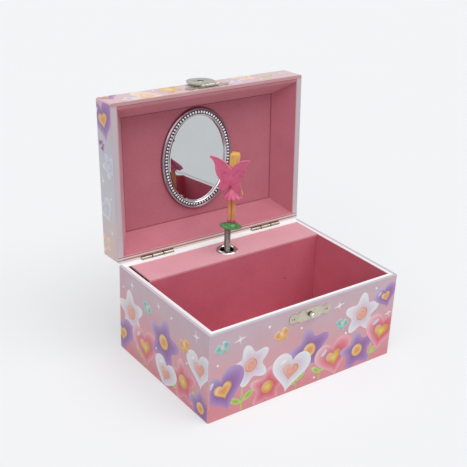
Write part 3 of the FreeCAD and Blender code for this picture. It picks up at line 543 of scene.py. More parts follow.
@dataclass(frozen=True)
class Paper(Finish):
    """Coloured lining or rim paper with visible fibres and a soft bloom."""

    deep: Colour
    pale: Colour
    rough: float = 0.7
    fineness: float = 1.0
    strength: float = 0.25
    bloom: float = 0.0
    marks: tuple[Line | Patch, ...] = ()

    def dress(self, wiring: Wiring, shader: Node) -> None:
        """Vary the tone with the fibres, raise them a little, and draw the marks: paper edges, and painted
        shade and light along folds and creases.
        """
        grain = Effects.placed(wiring, Effects.paper_grain(), self.fineness)
        tone = wiring.blend(grain["Tone"], self.deep, self.pale)
        for mark in self.marks:
            tone = mark.drawn(wiring, tone)
        wiring.fill(shader, {
            "Base Color": tone,
            "Roughness": wiring.span(grain["Tone"], 0, 1, self.rough + 0.08, self.rough - 0.06),
            "Specular IOR Level": 0.3,
            "Sheen Weight": self.bloom,
            "Sheen Roughness": 0.5,
            "Normal": wiring.relief(grain["Height"], self.strength, 0.06),
        })


@dataclass(frozen=True)
class Laminate(Finish):
    """Printed paper under a thin clear laminate."""

    @staticmethod
    def covered(wiring: Wiring, shader: Node, print_colour: Socket, show: float, rough: float) -> Socket:
        """Cover a print with the laminate.

        Args:
            wiring: The material's wiring.
            shader: The material's shader.
            print_colour: The colour of the print.
            show: How much of the paper's fibres shows through.
            rough: The laminate's roughness.

        Returns:
            The colour of the covered print.
        """
        grain = Effects.placed(wiring, Effects.paper_grain(), 1.4)
        wiring.fill(shader, {
            "Roughness": wiring.span(grain["Tone"], 0, 1, rough + 0.06, rough - 0.06),
            "Coat Weight": 0.15,
            "Coat Roughness": 0.25,
            "Normal": wiring.relief(grain["Height"], 0.08, 0.05),
        })
        return wiring.blend(wiring.maths("MULTIPLY", grain["Tone"], show), print_colour, (1, 1, 1))


@dataclass(frozen=True)
class PrintGround(Laminate):
    """Laminated paper whose printed ground runs from one colour to another with the height."""

    stops: tuple[tuple[float, Colour], ...]
    low: float
    high: float
    corner_way: Way = Way.Y
    corner_middle: float = 0
    worn: Colour = rgb(244, 238, 238)
    worn_from: float = 0.7
    worn_full: float = 0.1
    cloud_scale: float = 26
    fleck_scale: float = 420

    def dress(self, wiring: Wiring, shader: Node) -> None:
        """Run the ground colours up the sides, with soft clouds and worn corners."""
        place = wiring.place()
        height = wiring.span(wiring.along(Way.Z), self.low * MM, self.high * MM)
        cloud = wiring.span(wiring.noise(place, self.cloud_scale, 3, 0.55), 0.3, 0.7, -0.12, 0.12)
        ramp = wiring.add("ShaderNodeValToRGB")
        ramp.color_ramp.interpolation = "EASE"
        while len(ramp.color_ramp.elements) < len(self.stops):
            ramp.color_ramp.elements.new(0.5)
        for element, (position, colour) in zip(ramp.color_ramp.elements, self.stops):
            element.position = position
            element.color = (*colour, 1)
        wiring.feed(ramp, 0, wiring.maths("ADD", height, cloud))
        across = wiring.along(Way.REACH)
        along = wiring.maths("SUBTRACT", wiring.along(self.corner_way), self.corner_middle * MM)
        corner = wiring.maths("MULTIPLY", *(
            wiring.span(reach, (edge - self.worn_from) * MM, (edge - self.worn_full) * MM)
            for reach, edge in ((across, HALF_WIDE), (wiring.maths("ABSOLUTE", along), HALF_DEEP))))
        flecks = wiring.span(wiring.noise(place, self.fleck_scale, 3), 0.42, 0.62, 0, 0.5)
        tinted = self.covered(wiring, shader, ramp.outputs[0], 0.1, 0.4)
        rubbed = wiring.maths("MULTIPLY", corner, flecks)
        wiring.feed(shader, "Base Color", wiring.blend(rubbed, tinted, self.worn))


@dataclass(frozen=True)
class PrintInk(Laminate):
    """Printed motifs under the same laminate; each motif carries its shaded colour."""

    def dress(self, wiring: Wiring, shader: Node) -> None:
        """Read the motif's own colour and let the paper show through."""
        colour = wiring.add("ShaderNodeAttribute", attribute_name="ink").outputs["Color"]
        wiring.feed(shader, "Base Color", self.covered(wiring, shader, colour, 0.08, 0.38))


@dataclass(frozen=True)
class Metal(Finish):
    """Plated or drawn metal with smears and fine drawing lines."""

    clean: Colour
    dull: Colour
    rough: float = 0.2
    spread: float = 0.14
    fineness: float = 1.0
    strength: float = 0.05

    def dress(self, wiring: Wiring, shader: Node) -> None:
        """Let smears dull the shine and scratches raise it."""
        marks = Effects.placed(wiring, Effects.handling(), self.fineness)
        wiring.fill(shader, {
            "Base Color": wiring.blend(marks["Smear"], self.clean, self.dull),
            "Roughness": wiring.span(marks["Smear"], 0, 1, self.rough, self.rough + self.spread),
            "Metallic": 1,
            "Normal": wiring.relief(marks["Scratch"], self.strength, 0.03),
        })


@dataclass(frozen=True)
class Plastic(Finish):
    """Moulded and painted plastic, slightly uneven."""

    deep: Colour
    pale: Colour
    rough: float = 0.32
    coat: float = 0.25
    grain: float = 0.05

    def dress(self, wiring: Wiring, shader: Node) -> None:
        """Vary the paint a little and give it a soft gloss."""
        smear = Effects.placed(wiring, Effects.handling(), 1)["Smear"]
        wiring.fill(shader, {
            "Base Color": wiring.blend(smear, self.deep, self.pale),
            "Roughness": wiring.span(smear, 0, 1, self.rough, self.rough + 0.1),
            "Coat Weight": self.coat,
            "Coat Roughness": 0.18,
            "Normal": wiring.relief(smear, self.grain, 0.1),
        })


@dataclass(frozen=True)
class Strands(Finish):
    """Painted hair with strands that run down the head."""

    deep: Colour
    pale: Colour
    stretch: Place = (1, 1, 0.07)
    scale: float = 1500

    def dress(self, wiring: Wiring, shader: Node) -> None:
        """Draw strands down the hair in tone and relief."""
        strand = wiring.noise(wiring.stretched(wiring.place(), self.stretch), self.scale, 3, 0.6)
        wiring.fill(shader, {
            "Base Color": wiring.blend(wiring.span(strand, 0.3, 0.7), self.deep, self.pale),
            "Roughness": wiring.span(strand, 0.3, 0.7, 0.48, 0.34),
            "Coat Weight": 0.15,
            "Normal": wiring.relief(strand, 0.35, 0.18),
        })


class Look:
    """Every finish on the box, by what it covers."""

    # The crease colour is painted shade along the creases round the lid's panel.
    CREASE_SHADE = rgb(136, 40, 62)
    RIM_RUN = (-71.8, 71.8)
    PANEL_RUN = (-61, 61)
    # Rose lining: the lighter patch on the lid's upper slope is painted light, and the crease lines round the
    # panel are painted shade.
    LINING = Paper(
        "lining_rose", rgb(182, 100, 116), rgb(198, 118, 132), 0.62, 1.0, 0.3, 0.35,
        (Patch(rgb(214, 120, 138), ((Way.SLOPE, 94.1, 94.4), (Way.Z, 155.2, 155.5))),
         Line(Way.Z, 76.35, 0.12, CREASE_SHADE, PANEL_RUN), Line(Way.Z, 155.2, 0.1, CREASE_SHADE, PANEL_RUN),
         Line(Way.X, 61, 0.1, CREASE_SHADE, (76.35, 155.2))))
    # The tray's copy of the lining is brighter and redder to paint the light bounced inside the tray, and the
    # deck's copy is paler to paint the sheen on the deck.
    TRAY_BOUNCE_LIGHT = Paper("tray_rose_bounce_light", rgb(199, 96, 117), rgb(213, 110, 131), 0.62, 1.0, 0.3, 0.25)
    DECK_SHEEN = Paper("deck_rose_sheen", rgb(216, 150, 162), rgb(228, 166, 176), 0.62, 1.0, 0.3, 0.3)
    # White rim paper: the lighter band along the front and the rear is painted light, and the mauve patch
    # along the front and the ends is painted shade on the wrap's rounded fold.
    RIM = Paper(
        "rim_white", rgb(242, 236, 238), rgb(250, 246, 248), 0.55, 1.2, 0.15, 0,
        (Line(Way.Y, 51.8, 2.0, rgb(250, 255, 254)),
         Patch(rgb(204, 194, 204), ((Way.REACH, 73.5, 74.3), (Way.Y, -51.5, -52.3)), Meeting.EITHER)))
    # Rim paper of the lid: its blush on the long sides is partly the paper's colour and partly painted shade,
    # its short sides are white, and the thin dark lines at 64.3, 66.4 and 168.1 mm are painted shadow lines
    # beside the paper's edges.
    LID_RIM = Paper(
        "rim_blush_and_shade", rgb(200, 150, 154), rgb(214, 168, 170), 0.55, 1.2, 0.15, 0,
        (Patch(rgb(206, 194, 202), ((Way.REACH, 71.9, 72.3), (Way.Z, 168.6, 167.6))),
         Line(Way.Z, 63.3, 0.25, rgb(236, 226, 216)), Line(Way.Z, 64.3, 0.12, rgb(128, 92, 88)),
         Line(Way.Z, 65.5, 0.2, rgb(232, 214, 206)), Line(Way.Z, 66.4, 0.1, rgb(140, 96, 96)),
         Line(Way.Z, 166.9, 0.7, rgb(184, 110, 122), RIM_RUN),
         Line(Way.Z, 168.1, 0.1, rgb(132, 66, 78), RIM_RUN)))
    BOARD = Paper("grey_board", rgb(40, 37, 38), rgb(54, 50, 50), 0.85, 0.7, 0.5)
    BASE_PRINT = PrintGround(
        "print_ground_base",
        ((0.02, rgb(222, 132, 142)), (0.45, rgb(222, 160, 170)), (0.98, rgb(206, 178, 190))), 0, 62)
    LID_PRINT = PrintGround(
        "print_ground_lid",
        ((0.02, rgb(226, 198, 192)), (0.4, rgb(210, 208, 216)), (0.75, rgb(206, 202, 214)),
         (0.98, rgb(222, 184, 192))), 62, 174, Way.Z, 116.6)
    INK = PrintInk("print_ink")
    NICKEL = Metal("nickel", (0.56, 0.54, 0.46), (0.4, 0.38, 0.32), 0.22, 0.16)
    PLATE = Metal("catch_nickel", (0.66, 0.62, 0.51), (0.54, 0.5, 0.41), 0.3, 0.14)
    BARREL = Metal("hinge_nickel", (0.5, 0.45, 0.36), (0.34, 0.3, 0.24), 0.2, 0.16)
    # Dark metal that paints the shade in the nails' dimples, round the knob's stem and in the gaps between
    # the hinge barrels.
    GAP_SHADE = Metal("joint_gap_shade", (0.05, 0.04, 0.035), (0.03, 0.025, 0.02), 0.4, 0.2)
    CHROME = Metal("bright_nickel", (0.72, 0.71, 0.69), (0.54, 0.53, 0.51), 0.06, 0.08)
    SILVERED = Metal("silvered_frame", (0.8, 0.8, 0.82), (0.66, 0.66, 0.69), 0.1, 0.12, 1.3)
    # The bezel's plum tone is a painted reflection of the rose lining with painted shade, and the groove's
    # dark is painted shade between the beads.
    BEZEL = Metal("frame_bezel", (0.36, 0.27, 0.31), (0.28, 0.2, 0.24), 0.12, 0.12, 1.3)
    GROOVE = Metal("frame_groove", (0.11, 0.1, 0.11), (0.07, 0.06, 0.07), 0.3, 0.2)
    MIRROR = Metal("mirror", (0.58, 0.6, 0.61), (0.56, 0.58, 0.59), 0.012, 0.012, 0.3, 0.0)
    ZINC = Metal("cast_zinc", (0.5, 0.5, 0.51), (0.38, 0.38, 0.39), 0.4, 0.2)
    STEEL = Metal("steel", (0.44, 0.4, 0.38), (0.32, 0.29, 0.27), 0.22, 0.16)
    BRASS = Metal("brass", (0.78, 0.57, 0.24), (0.6, 0.42, 0.17), 0.24, 0.2)
    BLACK = Plastic("black_plastic", rgb(22, 22, 24), rgb(40, 40, 42), 0.42, 0.1)
    LEAF = Plastic("leaf_green", rgb(48, 118, 56), rgb(78, 148, 76), 0.26, 0.4, 0.08)
    SKIN = Plastic("skin_paint", rgb(226, 156, 100), rgb(240, 178, 122), 0.4, 0.15)
    HAIR = Strands("hair_blond", rgb(212, 150, 62), rgb(250, 208, 116))
    DRESS = Plastic("dress_pink", rgb(206, 84, 124), rgb(226, 112, 148), 0.34, 0.25)
    WING = Plastic("wing_pink", rgb(210, 82, 124), rgb(226, 102, 142), 0.26, 0.4)
    # The wing rims' paler pink is a painted highlight along the wings' upper edges.
    WING_RIM_HIGHLIGHT = Plastic("wing_rim", rgb(230, 116, 150), rgb(240, 140, 170), 0.22, 0.4)
    EYE = Plastic("eye_paint", rgb(48, 34, 34), rgb(70, 50, 46), 0.2, 0.4)
    LIP = Plastic("lip_paint", rgb(196, 70, 84), rgb(210, 90, 100), 0.3, 0.2)

    SLOTS = {
        "box_board": BOARD, "print_paper": BASE_PRINT, "rim_paper": RIM, "lining_paper": LINING,
        "nickel": NICKEL, "silver_plastic": SILVERED, "mirror": MIRROR, "zinc": ZINC, "steel": STEEL,
        "brass": BRASS, "black_plastic": BLACK, "leaf_green": LEAF, "skin": SKIN, "hair_blond": HAIR,
        "dress_pink": DRESS, "wing_pink": WING,
    }
    NODES = {
        "lid_print_wrap": LID_PRINT, "lid_rim_band": LID_RIM, "deck_eyelet": CHROME, "catch_knob": CHROME,
        "catch_plate": PLATE, "catch_nail_left": PLATE, "catch_nail_right": PLATE,
        "hinge_base_leaf_left": BARREL, "hinge_base_leaf_right": BARREL,
        "hinge_lid_leaf_left": BARREL, "hinge_lid_leaf_right": BARREL,
        # The tray and the deck wear the lining's copies with painted bounce light and painted sheen.
        "tray_wall_liner": TRAY_BOUNCE_LIGHT, "tray_floor_liner": TRAY_BOUNCE_LIGHT, "mechanism_divider": TRAY_BOUNCE_LIGHT, "mechanism_deck": DECK_SHEEN,
    }


def fit(piece: Piece, body: str, slot: str, finish: Finish, *stands_for: str) -> None:
    """Give a finished piece its material and its place on a moving body.

    Args:
        piece: The finished piece.
        body: The body that carries it, or nothing if no body carries it.
        slot: The record's material slot; not used.
        finish: The finish that it is dressed in.
        stands_for: The plain solids that it takes the place of.
    """
    piece.data.materials.clear()
    piece.data.materials.append(finish.material())
    if body:
        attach(piece, body)
    if stands_for:
        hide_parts(*stands_for)
    log.info("%s rides on %s in %s, %d faces", piece.name, body or "a bend", finish.name,
             len(piece.data.polygons))


# Printed motifs

class Shape(Enum):
    """The outlines of the printed motifs."""

    HEART = "heart"
    STAR = "star"
    DISC = "disc"
    LEAF = "leaf"
    SPARK = "spark"
    STRING = "string"

    def at(self, turn: float) -> Point:
        """Give the outline's point at a turn, for a motif of half width one."""
        if self is Shape.HEART:
            rise = 13 * math.cos(turn) - 5 * math.cos(2 * turn) - 2 * math.cos(3 * turn) - math.cos(4 * turn)
            return math.sin(turn) ** 3, rise / 16 + 0.12
        if self is Shape.LEAF:
            return math.sin(turn), 0.42 * math.cos(turn) * abs(math.cos(turn)) ** 0.4
        if self is Shape.STRING:
            return math.sin(turn), 0.05 * math.cos(turn)
        if self is Shape.STAR:
            reach = 0.6 + 0.4 * ((1 + math.cos(5 * turn)) / 2) ** 1.2
        elif self is Shape.SPARK:
            reach = 0.15 + 0.85 * abs(math.cos(2 * turn)) ** 12 + 0.35 * abs(math.sin(2 * turn)) ** 24
        else:
            reach = 1
        return reach * math.sin(turn), reach * math.cos(turn)

    def crease(self, turn: float) -> float:
        """Tell how deep in a fold of the motif a turn lies, from 0 to 1."""
        if self is Shape.STAR:
            return ((1 - math.cos(5 * turn)) / 2) ** 2
        if self is Shape.HEART:
            return math.exp(-((turn / 0.5) ** 2))
        return 0

    @property
    def is_large(self) -> bool:
        """Tell whether the motif is large enough to need a fine outline."""
        return self in (Shape.HEART, Shape.STAR)


@dataclass(frozen=True)
class Ink:
    """The shading of one motif, from its middle to its edge."""

    middle: Colour
    body: Colour
    edge: Colour
    light: float = 0.3

    def at(self, reach: float, lean: float, crease: float) -> Colour:
        """Give the colour at a share of the way out, lighter on the upper left and deeper in the folds."""
        turning, shine = 0.6, (0.95, 0.93, 0.95)
        if reach < turning:
            colour = mixed(self.middle, self.body, (reach / turning) ** 1.4)
        else:
            colour = mixed(self.body, self.edge, (reach - turning) / (1 - turning))
        colour = mixed(colour, self.middle, 0.55 * crease * (1 - 0.4 * reach))
        return mixed(colour, shine, max(lean, 0) * self.light * reach)


class Colours:
    """The inks of the print, alone and in pairs for a large motif and the small one on it."""

    PURPLE = Ink(rgb(118, 58, 140), rgb(150, 98, 172), rgb(182, 140, 200))
    WHITE = Ink(rgb(226, 166, 196), rgb(226, 220, 232), rgb(240, 242, 248), 0.5)
    CORAL = Ink(rgb(206, 62, 84), rgb(224, 98, 116), rgb(240, 172, 190))
    ORANGE = Ink(rgb(228, 146, 70), rgb(234, 166, 84), rgb(246, 200, 112))
    YELLOW = Ink(rgb(244, 210, 90), rgb(228, 178, 70), rgb(212, 142, 62))
    SALMON = Ink(rgb(238, 176, 156), rgb(232, 150, 134), rgb(238, 178, 164))
    GREEN = Ink(rgb(142, 186, 54), rgb(170, 204, 74), rgb(200, 222, 108))
    TEAL = Ink(rgb(104, 182, 178), rgb(132, 200, 196), rgb(180, 218, 210))
    PEACH = Ink(rgb(244, 192, 144), rgb(246, 208, 176), rgb(246, 222, 206))
    MIST = Ink(rgb(198, 206, 230), rgb(212, 218, 234), rgb(226, 228, 240))
    GLINT = Ink(rgb(252, 252, 252), rgb(250, 248, 250), rgb(244, 236, 242), 0)
    PLUM, SNOW, ROSE = (PURPLE, ORANGE), (WHITE, SALMON), (CORAL, YELLOW)
    CREAM, HONEY, PEARL = (PEACH, PEACH), (YELLOW, PEACH), (PEACH, MIST)
    FROST, HAZE = (MIST, SALMON), (MIST, MIST)


@dataclass(frozen=True)
class Motif:
    """One printed motif on a face: its place from the face's middle, half width and turn."""

    shape: Shape
    ink: Ink
    across: float
    up: float
    reach: float
    turn: float = 0


def beside(across: float, up: float, reach: float, way: float) -> Point:
    """Give the point at a reach and a way in degrees from another."""
    return across + reach * math.cos(math.radians(way)), up + reach * math.sin(math.radians(way))


def heart(inks: tuple[Ink, Ink], across: float, up: float, reach: float, turn: float = 0) -> list[Motif]:
    """Set a large heart with a rimmed small one on it and a shine on its shoulder."""
    shine = beside(across, up, reach * 0.68, 134 + turn)
    glint = Colours.GLINT if inks[0] is Colours.WHITE else Colours.MIST
    return [Motif(Shape.HEART, inks[0], across, up, reach, turn),
            Motif(Shape.LEAF, glint, *shine, reach * 0.2, 36 + turn),
            Motif(Shape.HEART, Colours.YELLOW, across, up, reach * 0.4, turn),
            Motif(Shape.HEART, inks[1], across, up, reach * 0.33, turn)]


def star(inks: tuple[Ink, Ink], across: float, up: float, reach: float, turn: float = 0) -> list[Motif]:
    """Set a large rounded star with a rimmed button in its middle."""
    return [Motif(Shape.STAR, inks[0], across, up, reach, turn),
            Motif(Shape.DISC, Colours.YELLOW, across, up, reach * 0.31),
            Motif(Shape.DISC, inks[1], across, up, reach * 0.26)]


def sprig(across: float, up: float, reach: float, turn: float = 0) -> list[Motif]:
    """Set a pair of small leaves on a stalk."""
    left, right = beside(across, up, reach * 0.76, 157 + turn), beside(across, up, reach * 0.86, 36 + turn)
    return [Motif(Shape.STRING, Colours.GREEN, across, up, reach * 1.5, 90 + turn),
            Motif(Shape.LEAF, Colours.GREEN, *left, reach * 0.75, -28 + turn),
            Motif(Shape.LEAF, Colours.GREEN, *right, reach * 0.75, 36 + turn)]


def bow(ink: Ink, across: float, up: float, reach: float, turn: float = 0) -> list[Motif]:
    """Tie a small bow from two loops, two tails and a knot."""
    loops = [Motif(Shape.HEART, ink, *beside(across, up, reach * 0.58, way + turn), reach * 0.56, turn + spin)
             for way, spin in ((0, 90), (180, -90))]
    tails = [Motif(Shape.LEAF, ink, *beside(across, up, reach * 0.55, way + turn), reach * 0.5, way + turn)
             for way in (-62, -118)]
    return [*tails, *loops, Motif(Shape.DISC, Colours.PEACH, across, up, reach * 0.2)]


def glints(*places: tuple[float, float, float]) -> list[Motif]:
    """Set small eight-rayed glints and dots."""
    return [Motif(Shape.SPARK if reach > 1 else Shape.DISC, Colours.GLINT, across, up, reach, 12)
            for across, up, reach in places]


@dataclass(frozen=True)
class PrintFace:
    """One flat face of the paper wrap, in millimetres, with the motifs printed on it."""

    middle: Place
    across: Place
    up: Place
    half_width: float
    half_height: float
    motifs: Sequence[Motif]


class PrintedPaper:
    """The printed motifs on the wraps of the base and the lid."""

    LARGE = (72, (0.86, 0.66, 0.42, 0.2))
    SMALL = (24, (0.5,))
    LIFT = 0.03
    LAYER = 0.005
    SUNK = 0.05
    EDGE = 0.9
    SLIVER = 0.0005

    def __init__(self) -> None:
        """Model the two plates that the motifs are cut from."""
        self.large = self.plate("model_large", *self.LARGE)
        self.small = self.plate("model_small", *self.SMALL)

    @staticmethod
    def plate(name: str, points: int, rings: Sequence[float]) -> Piece:
        """Model a round plate of half width one with rings for its shading.

        Args:
            name: Name of the model.
            points: How many points its edge has.
            rings: The rings inside its edge, from the outermost inwards.

        Returns:
            The plate, one high.
        """
        clear_bench()
        bpy.ops.mesh.primitive_circle_add(vertices=points, radius=1, fill_type="NGON")
        plate = named(name)
        with editing(plate):
            pick_all()
            draw_out(0, 0, 1)
            for outer, inner in zip((1, *rings), rings):
                bpy.ops.mesh.inset(thickness=outer - inner, depth=0)
            bpy.ops.mesh.poke()
            face_out()
        return plate

    def printed(self, face: PrintFace, motif: Motif, layer: int, name: str) -> Piece:
        """Copy a motif onto a face and shade it.

        Args:
            face: The face that it is printed on.
            motif: Which motif, where and how large.
            layer: Its place in the order of printing.
            name: Name of the copy.

        Returns:
            The shaded motif.
        """
        piece = copied(self.large if motif.shape.is_large else self.small, name, Matrix.Identity(4))
        shades = piece.data.attributes.new("ink", "FLOAT_COLOR", "POINT")
        across, up = Vector(face.across), Vector(face.up)
        out = across.cross(up)
        cosine, sine = math.cos(math.radians(motif.turn)), math.sin(math.radians(motif.turn))
        limit_u, limit_v = face.half_width - self.EDGE, face.half_height - self.EDGE
        for vertex, shade in zip(piece.data.vertices, shades.data):
            reach = math.hypot(vertex.co.x, vertex.co.y)
            turn = math.atan2(vertex.co.x, vertex.co.y)
            x, y = motif.shape.at(turn)
            spot = Vector((x * cosine - y * sine, x * sine + y * cosine)) * reach
            colour = motif.ink.at(reach, (spot.y - spot.x) * 0.7, motif.shape.crease(turn))
            shade.color = (*colour, 1)
            u = max(min(motif.across + spot.x * motif.reach, limit_u), -limit_u)
            v = max(min(motif.up + spot.y * motif.reach, limit_v), -limit_v)
            height = self.LIFT + self.LAYER * layer if vertex.co.z > 0.5 else -self.SUNK
            vertex.co = (Vector(face.middle) + across * u + up * v + out * height) * MM
        return piece

    def build(self, name: str, body: str, faces: Sequence[PrintFace], place: Matrix) -> None:
        """Print all motifs of one wrap and fit them as one piece."""
        copies = []
        for face in faces:
            for layer, motif in enumerate(face.motifs):
                copies.append(self.printed(face, motif, layer, f"{name}_{len(copies)}"))
        piece = joined(copies, name)
        with editing(piece):
            pick_all()
            bpy.ops.mesh.dissolve_degenerate(threshold=self.SLIVER * MM)
        piece.data.transform(place)
        fit(piece, body, "print_paper", Look.INK)

    def clear(self) -> None:
        """Put the models away once all motifs are printed."""
        for model in (self.large, self.small):
            bpy.data.objects.remove(model)


def box_sides(middle: float, half: float, *motifs: Sequence[Motif]) -> list[PrintFace]:
    """Give the four sides of the case at a height.

    Args:
        middle: Height of their middle, in millimetres.
        half: Half their height.
        motifs: What is printed on the front, the left, the right and the rear.

    Returns:
        The four faces.
    """
    sides = (
        ((0, -HALF_DEEP, middle), (1, 0, 0), HALF_WIDE), ((-HALF_WIDE, 0, middle), (0, -1, 0), HALF_DEEP),
        ((HALF_WIDE, 0, middle), (0, 1, 0), HALF_DEEP), ((0, HALF_DEEP, middle), (-1, 0, 0), HALF_WIDE),
    )
    return [PrintFace(place, across, (0, 0, 1), width, half, printed)
            for (place, across, width), printed in zip(sides, motifs)]


def base_faces() -> list[PrintFace]:
    """Lay out the four printed sides of the base."""
    c = Colours
    front = [
        *sprig(-51, -24, 7), *sprig(-8, -25, 7, 8), *sprig(13, -24, 6, -8), *sprig(57, -25, 7, -6),
        *star(c.SNOW, -45, 1, 15.5, 14), *heart(c.PLUM, -65, -11, 17, 14),
        *star(c.ROSE, -31, -20, 15, -8), *star(c.PLUM, 2, -4, 17.5, 10),
        *heart(c.SNOW, -13, -15, 16, -12), *heart(c.ROSE, 24, -17, 16, 10),
        *star(c.SNOW, 46, 10, 15.5, -4), *star(c.PLUM, 45, -18, 15.5, 8),
        *heart(c.ROSE, 66, -10, 16, -12), *heart(c.PLUM, 67, 17, 10, 16), *bow(c.ORANGE, -22, 16, 6, 16),
        *bow(c.TEAL, 29, 8, 5.5, -18), *bow(c.TEAL, -67, 21, 5.5, 20),
        *glints((-54, 22, 4.4), (-32, 24, 0.9), (25, 22, 4), (-6, 15, 0.8), (-70, 9, 0.8)),
        *glints((57, 26, 0.8), (33, -1, 0.9), (-24, -2, 0.8), (8, -27, 0.8), (71, 3, 3)),
    ]
    left = [
        *sprig(-22, -24, 7), *sprig(18, -25, 7, 10), *sprig(44, -22, 6, -8),
        *star(c.SNOW, -38, 3, 16, 10), *heart(c.PLUM, -50, -19, 15, 6), *heart(c.ROSE, -20, -15, 16, 8),
        *star(c.PLUM, 3, 1, 17.5, -10), *star(c.ROSE, 26, -16, 16, 12), *heart(c.SNOW, 5, -22, 13, -10),
        *heart(c.SNOW, 44, 2, 13.5, 8), *star(c.PLUM, 46, -24, 13.5, 4), *bow(c.ORANGE, 27, 12, 6, 22),
        *bow(c.TEAL, -17, 17, 5.5, -18),
        *glints((-36, 24, 3.6), (40, 24, 4.2), (12, 23, 0.9), (-6, -8, 0.8)),
        *glints((30, 0, 0.8), (-48, 18, 0.8), (-3, 24, 3)),
    ]
    right = [
        *sprig(20, -25, 7), *sprig(-28, -24, 7, 8), *star(c.SNOW, -38, 2, 16, 6),
        *heart(c.ROSE, -46, -20, 14.5, 12), *heart(c.PLUM, -16, -12, 16.5, -10),
        *star(c.ROSE, 8, 2, 16.5, 10), *heart(c.SNOW, 30, -14, 16, 8), *star(c.PLUM, 45, 6, 15, 0),
        *bow(c.ORANGE, -14, 18, 6, 14), *bow(c.TEAL, 28, 20, 5.5, -20),
        *glints((-32, 24, 3.6), (8, -24, 3), (47, 26, 0.9)),
        *glints((-2, 25, 0.8), (50, -22, 3.6), (20, 12, 0.8)),
    ]
    rear = [
        *sprig(-40, -25, 7), *sprig(38, -24, 7, 8), *sprig(12, -25, 6, -8),
        *heart(c.ROSE, -60, -6, 16.5, 10), *star(c.PLUM, -35, -2, 17, 4), *star(c.SNOW, -52, -22, 13, 6),
        *heart(c.SNOW, -18, 14, 14, -8), *star(c.ROSE, 23, 12, 15, 10),
        *heart(c.PLUM, 39, -11, 16.5, 12), *star(c.SNOW, 62, 0, 16, -6),
        *heart(c.ROSE, -19, -20, 12, 12), *bow(c.TEAL, 44, 18, 5.5, 20),
        *bow(c.ORANGE, -44, 21, 5.5, -16),
        *glints((4, 24, 3.4), (-66, 18, 3), (20, -22, 3), (58, -23, 0.9), (-2, 2, 0.8), (8, 8, 0.8)),
    ]
    return box_sides(31, 31, front, left, right, rear)


def lid_faces() -> list[PrintFace]:
    """Lay out the top and the four narrow sides of the lid, drawn shut."""
    c = Colours
    top = [
        *sprig(-38, -44, 8), *sprig(26, -44, 8, 8), *sprig(58, -18, 7, -10),
        *star(c.SNOW, -54, -28, 19, 8), *heart(c.PLUM, -24, -30, 20, -8), *star(c.ROSE, 8, -34, 18, 10),
        *heart(c.SNOW, 42, -32, 19, 10), *star(c.PLUM, 60, -4, 18, 0), *heart(c.ROSE, -58, 8, 18, 12),
        *star(c.PLUM, -30, 6, 19, -6), *heart(c.SNOW, 0, 2, 20, -10), *star(c.ROSE, 32, 8, 19, 4),
        *heart(c.PLUM, 56, 36, 18, -12), *star(c.SNOW, 20, 38, 17, 10), *heart(c.ROSE, -14, 38, 17, 8),
        *star(c.PLUM, -56, 40, 17, 4), *bow(c.TEAL, -36, 32, 7, 18), *bow(c.ORANGE, 38, 46, 6, -20),
        *bow(c.ORANGE, -6, -14, 6, 14), *bow(c.TEAL, 68, -30, 7, -12),
        *glints((-70, -8, 4.4), (24, -14, 4), (2, 24, 3.6), (46, 22, 3.4)),
        *glints((-42, -8, 0.9), (71, 18, 0.9), (-36, 48, 0.9)),
    ]
    front = [
        *heart(c.CREAM, -46, -4, 12, 70), *star(c.HONEY, -26, 3, 9, 20), *sprig(52, -2, 4.5, -10),
        *star(c.PEARL, 36, 6, 9, 0), *heart(c.PLUM, -70, 8, 10, 10), *star(c.FROST, -60, -5, 5, 10),
        *star(c.FROST, 24, -3, 5, 10), *glints((66, 2, 3), (-36, 6, 0.8), (44, -5, 0.8)),
    ]
    left = [
        *heart(c.PLUM, 41, 1, 14.5, -75), *star(c.HAZE, 12, -4, 9, 12), *heart(c.HAZE, -20, 3, 9, -60),
        *star(c.PEARL, -44, 6, 7, 0), *bow(c.PURPLE, 24, 5, 4, 40),
        *glints((0, 5, 2.8), (-10, -5, 0.7), (-34, -4, 2.6)),
    ]
    right = [
        *star(c.PLUM, -38, 0, 13, 10), *heart(c.HAZE, -8, 3, 9, 60), *star(c.ROSE, 22, -2, 11, 8),
        *heart(c.PEARL, 44, 4, 8, 75), *glints((8, 5, 2.8), (-20, -5, 0.7), (34, 5, 0.7)),
    ]
    rear = [
        *star(c.FROST, -64, 2, 8, 4), *heart(c.ROSE, -20, 1, 8.5, 10), *star(c.PLUM, 4, 0, 9, 8),
        *heart(c.HAZE, 25, 1, 8, -12), *star(c.PEARL, 66, 2, 8, 0), *glints((-8, 5, 2.4), (14, -6, 0.7)),
    ]
    lid_top = PrintFace((0, 0, 82.4), (1, 0, 0), (0, 1, 0), HALF_WIDE, HALF_DEEP, top)
    return [lid_top, *box_sides(72.4, 10, front, left, right, rear)]


# Mirror in the lid

